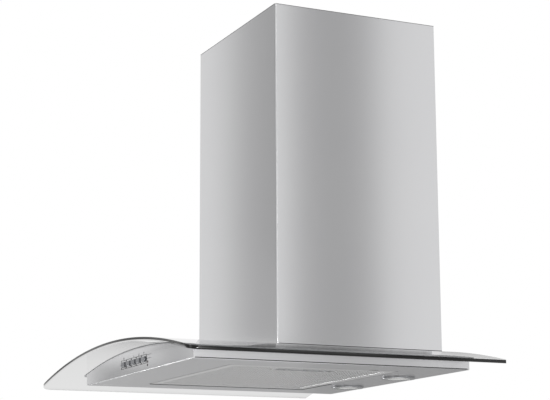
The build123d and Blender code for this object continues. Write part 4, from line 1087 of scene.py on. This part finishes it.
@dataclass
class Controls:
    """Push buttons, their printed signs and the pilot lenses in the panel."""

    mark_size: float = 3.4 * MM
    line: float = 0.7 * MM
    above: float = 3.4 * MM  # from the button's top edge to the sign's middle
    ink: float = 0.05 * MM
    steps: int = 24
    ring: float = 0.36  # radius of the power sign, as a share of the sign
    ring_gap: float = 80.0  # degrees left open at its top
    stroke: float = 0.44  # length of its upright stroke
    stroke_up: float = 0.28  # from the sign's middle to the stroke's
    bulb: float = 0.2  # radius of the light sign
    ray: float = 0.18  # length of its rays
    ray_out: float = 0.43  # from the sign's middle to a ray's
    least_bar: float = 0.4  # height of the lowest speed bar
    bar_step: float = 0.3
    slot: float = 0.4 * MM  # round each cap
    frame_width: float = 0.5 * MM
    frame_height: float = 0.3 * MM
    label_length: float = 17 * MM
    label_gap: float = 2.5 * MM

    def bar(self, shape: bmesh.types.BMesh, x: float, z: float, width: float, height: float) -> None:
        """Adds a bar to a sign.

        Args:
            shape: mesh of all the signs, on the plane y = 0.
            x: middle of the bar.
            z: middle of the bar.
            width: its width.
            height: its height.
        """
        lay_bar(shape, Vector((x, 0, z)), width, height, Vector((0, -self.ink, 0)))

    def arc(
        self, shape: bmesh.types.BMesh, x: float, z: float, radius: float, start: float, turn: float
    ) -> None:
        """Adds an arc to a sign.

        Args:
            shape: mesh of all the signs, on the plane y = 0.
            x: centre of the arc.
            z: centre of the arc.
            radius: radius of the line's middle.
            start: degrees from the upright where it starts.
            turn: degrees that it turns through.
        """
        angle = math.radians(start)
        spoke = Vector((math.sin(angle), 0, math.cos(angle)))
        ends = [
            shape.verts.new(Vector((x, 0, z)) + spoke * (radius + side * self.line / 2))
            for side in (-1, 1)
        ]
        others = set(shape.faces)
        bmesh.ops.spin(
            shape,
            geom=[*ends, shape.edges.new(ends)],
            cent=(x, 0, z),
            axis=(0, 1, 0),
            angle=math.radians(turn),
            steps=self.steps,
            use_merge=turn == 360,
        )
        flat = [face for face in shape.faces if face not in others]
        raise_faces(shape, flat, Vector((0, -self.ink, 0)))

    def draw(self, shape: bmesh.types.BMesh, mark: Mark, x: float, z: float) -> None:
        """Draws one sign.

        Args:
            shape: mesh of all the signs.
            mark: which sign.
            x: middle of the sign.
            z: middle of the sign.
        """
        size = self.mark_size
        if mark is Mark.POWER:
            self.arc(shape, x, z, size * self.ring, self.ring_gap / 2, 360 - self.ring_gap)
            self.bar(shape, x, z + size * self.stroke_up, self.line, size * self.stroke)
        elif mark is Mark.LIGHT:
            self.arc(shape, x, z, size * self.bulb, 0, 360)
            ray = size * self.ray
            for out in (-size * self.ray_out, size * self.ray_out):
                self.bar(shape, x, z + out, self.line, ray)
                self.bar(shape, x + out, z, ray, self.line)
        else:
            count = (Mark.LOW, Mark.MIDDLE, Mark.HIGH).index(mark) + 1
            for i in range(count):
                height = size * (self.least_bar + self.bar_step * i)
                place = x + (i - (count - 1) / 2) * 2 * self.line
                self.bar(shape, place, z - size / 2 + height / 2, self.line, height)

    def build_marks(self) -> None:
        """Prints a sign over each button and two lines beside the last one."""
        shape = bmesh.new()
        for mark in Mark:
            low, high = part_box(mark.value)
            self.draw(shape, mark, (low.x + high.x) / 2, high.z + self.above)
        start = high.x + self.label_gap
        for z in (high.z - self.frame_width, (low.z + high.z) / 2):
            self.bar(shape, start + self.label_length / 2, z, self.label_length, self.frame_width)
        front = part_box("front_panel")[0].y
        bmesh.ops.translate(shape, vec=(0, front, 0), verts=shape.verts)
        show("panel_marks", shape, "hood", [INK])

    def build_shade_frames(self) -> None:
        """Puts a thin black frame round each button's slot: painted shade for the dark gap round the
        cap.
        """
        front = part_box("front_panel")[0].y
        shape = bmesh.new()
        rings: list[bmesh.types.BMFace] = []
        grow = 2 * (self.slot + self.frame_width)
        for mark in Mark:
            low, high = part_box(mark.value)
            middle = (low + high) / 2
            hole = lay_flat(
                shape,
                Vector((middle.x, front, middle.z)),
                high.x - low.x + grow,
                high.z - low.z + grow,
                Vector((0, -1, 0)),
            )
            ring = bmesh.ops.inset_individual(
                shape, faces=hole, thickness=self.frame_width, use_even_offset=True
            )
            rings += ring["faces"]
            bmesh.ops.delete(shape, geom=hole, context="FACES_ONLY")
        raise_faces(shape, rings, Vector((0, -self.frame_height, 0)))
        show("button_painted_shade", shape, "hood", [BLACK_PLASTIC])

    def dress(self) -> None:
        """Finishes the caps and the lenses."""
        caps = [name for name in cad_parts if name.startswith("button_")]
        dress(BUTTON_LACQUER, *caps)
        dress(PILOT_RED, "pilot_lenses")


@dataclass
class Lamps:
    """Two recessed lamps at the back of the pan."""

    def dress(self) -> None:
        """Finishes the bezels, the lenses and the cups."""
        for side in ("left", "right"):
            dress(BEZEL_CHROME, f"lamp_bezel_{side}")
            dress(LENS, f"lamp_lens_{side}")
            dress(ZINC_SHEET, f"lamp_housing_{side}")


# ---- studio ----


@dataclass
class Softbox:
    """Rectangular studio light that shows only in reflections.

    It hangs at a place, faces a direction, and shines with a radiance in watts per square
    metre and steradian.
    """

    name: str
    place: Vector
    facing: Vector
    width: float
    height: float
    radiance: float

    def hang(self) -> None:
        """Hangs the light, with its height upright."""
        light = bpy.data.lights.new(self.name, "AREA")
        light.shape = "RECTANGLE"
        light.size = self.width
        light.size_y = self.height
        light.energy = self.radiance * math.pi * self.width * self.height
        lamp = bpy.data.objects.new(self.name, light)
        turned = self.facing.to_track_quat("-Z", "Y")
        lamp.matrix_world = Matrix.Translation(self.place) @ turned.to_matrix().to_4x4()
        lamp.visible_camera = False
        lamp.visible_transmission = False
        bpy.context.scene.collection.objects.link(lamp)


@dataclass
class Studio:
    """Plain floor, soft lights, white surroundings and the camera."""

    floor_z: float = -0.6
    floor_half: float = 9.0
    surround: float = 0.42
    camera_place: Vector = Vector((2.09118, -1.17256, -0.21792))
    azimuth_degrees: float = 64.92
    pitch_degrees: float = 11.7
    roll_degrees: float = -0.29
    lens_mm: float = 105.59
    sensor_mm: float = 36.0

    def build_floor(self) -> None:
        """Lays a plain pale floor."""
        shape = bmesh.new()
        bmesh.ops.create_grid(
            shape,
            x_segments=1,
            y_segments=1,
            size=self.floor_half,
            matrix=Matrix.Translation((0, 0, self.floor_z)),
        )
        mesh = bpy.data.meshes.new("studio_floor")
        shape.to_mesh(mesh)
        shape.free()
        floor = bpy.data.objects.new("studio_floor", mesh)
        bpy.context.scene.collection.objects.link(floor)
        paper = MouldedPlastic("studio_paper", colour="#E6E6E6", roughness=0.9)
        mesh.materials.append(paper.material())

    def build_surroundings(self) -> None:
        """Paints the background white and lights the scene with a softer grey."""
        world = bpy.data.worlds.new("studio_surroundings")
        world.use_nodes = True
        tree = world.node_tree
        tree.nodes.clear()
        path = add_node(tree, "ShaderNodeLightPath")
        seen = add_node(
            tree,
            "ShaderNodeMath",
            {0: path.outputs["Is Camera Ray"], 1: path.outputs["Is Transmission Ray"]},
            operation="MAXIMUM",
        )
        level = add_node(
            tree,
            "ShaderNodeMapRange",
            {"Value": seen.outputs["Value"], "To Min": self.surround, "To Max": 1.0},
        )
        glow = add_node(
            tree,
            "ShaderNodeBackground",
            {"Color": (1, 1, 1, 1), "Strength": level.outputs["Result"]},
        )
        add_node(tree, "ShaderNodeOutputWorld", {"Surface": glow.outputs["Background"]})
        bpy.context.scene.world = world
        bpy.context.scene.view_settings.view_transform = "Standard"

    def hang_lights(self) -> None:
        """Hangs the softboxes round the hood, most of them for the bands on its sheets."""
        for box in (
            Softbox("softbox_left", Vector((-0.9, -0.05, 0.65)), Vector((1, 0, 0)), 1.2, 1.3, 0.5),
            Softbox("softbox_low", Vector((-0.9, -1.08, 0.23)), Vector((1, 0, 0)), 0.44, 0.24, 0.5),
            Softbox("softbox_ledge", Vector((-0.9, -0.72, 0.135)), Vector((1, 0, 0)), 0.15, 0.05, 0.5),
            Softbox("softbox_sky", Vector((-0.9, -0.1, -0.21)), Vector((1, 0, 0)), 0.8, 0.4, 0.11),
            Softbox("softbox_right", Vector((0.9, 0.0, 0.71)), Vector((-1, 0, 0)), 0.26, 1.2, 0.6),
            Softbox("softbox_wall", Vector((0.9, 0.91, 0.6)), Vector((-1, 0, 0)), 1.186, 1.4, 0.5),
            Softbox("softbox_edge", Vector((0.9, -0.3, 0.65)), Vector((-1, 0, 0)), 0.12, 1.3, 2.4),
            Softbox("softbox_spark", Vector((0.9, -0.4, 0.072)), Vector((-1, 0, 0)), 0.12, 0.014, 200.0),
            Softbox("softbox_sill", Vector((0.9, 0.1, -0.12)), Vector((-1, 0, 0)), 1.0, 0.44, 0.18),
            Softbox("softbox_fold", Vector((-0.9, -0.52, -0.46)), Vector((9, 2, 4)), 0.3, 0.2, 8.0),
            Softbox("softbox_under", Vector((0.2, -0.1, -0.5)), Vector((0, 0, 1)), 0.4, 0.4, 1.5),
            Softbox("softbox_front", Vector((0.75, -1.6, 0.5)), Vector((-3, 10, -2)), 0.5, 1.4, 1.2),
            Softbox("softbox_top", Vector((0.0, -0.6, 2.2)), Vector((0, 1, -10)), 1.4, 1.4, 0.5),
        ):
            box.hang()

    def place_camera(self) -> None:
        """Stands the camera below the hood, to its right, looking up at it."""
        turn = math.radians(self.azimuth_degrees)
        pitch = math.radians(self.pitch_degrees)
        roll = math.radians(self.roll_degrees)
        forward = Vector(
            (
                -math.sin(turn) * math.cos(pitch),
                math.cos(turn) * math.cos(pitch),
                math.sin(pitch),
            )
        )
        level = Vector((math.cos(turn), math.sin(turn), 0))
        upright = level.cross(forward)
        right = level * math.cos(roll) + upright * math.sin(roll)
        up = upright * math.cos(roll) - level * math.sin(roll)
        axes = Matrix((right, up, -forward)).transposed()
        data = bpy.data.cameras.new("studio_camera")
        data.lens = self.lens_mm
        data.sensor_width = self.sensor_mm
        camera = bpy.data.objects.new("studio_camera", data)
        camera.matrix_world = Matrix.Translation(self.camera_place) @ axes.to_4x4()
        bpy.context.scene.collection.objects.link(camera)
        bpy.context.scene.camera = camera

    def build(self) -> None:
        """Sets up the whole studio."""
        self.build_floor()
        self.build_surroundings()
        self.hang_lights()
        self.place_camera()


def main() -> None:
    """Builds and dresses the hood, piece by piece, in its studio."""
    logging.basicConfig(level=logging.INFO, format="%(message)s")
    canopy, body, chimney = GlassCanopy(), HoodBody(), Chimney()
    grease_filter, controls = GreaseFilter(), Controls()
    canopy.build()
    body.build_side_shade()
    chimney.build_cover_strips()
    grease_filter.build_net()
    grease_filter.build_shade_strips()
    controls.build_marks()
    controls.build_shade_frames()
    for assembly in (
        canopy,
        body,
        chimney,
        Cabinet(),
        Fan(),
        grease_filter,
        controls,
        Lamps(),
    ):
        assembly.dress()
    Studio().build()


if __name__ == "__main__":
    main()
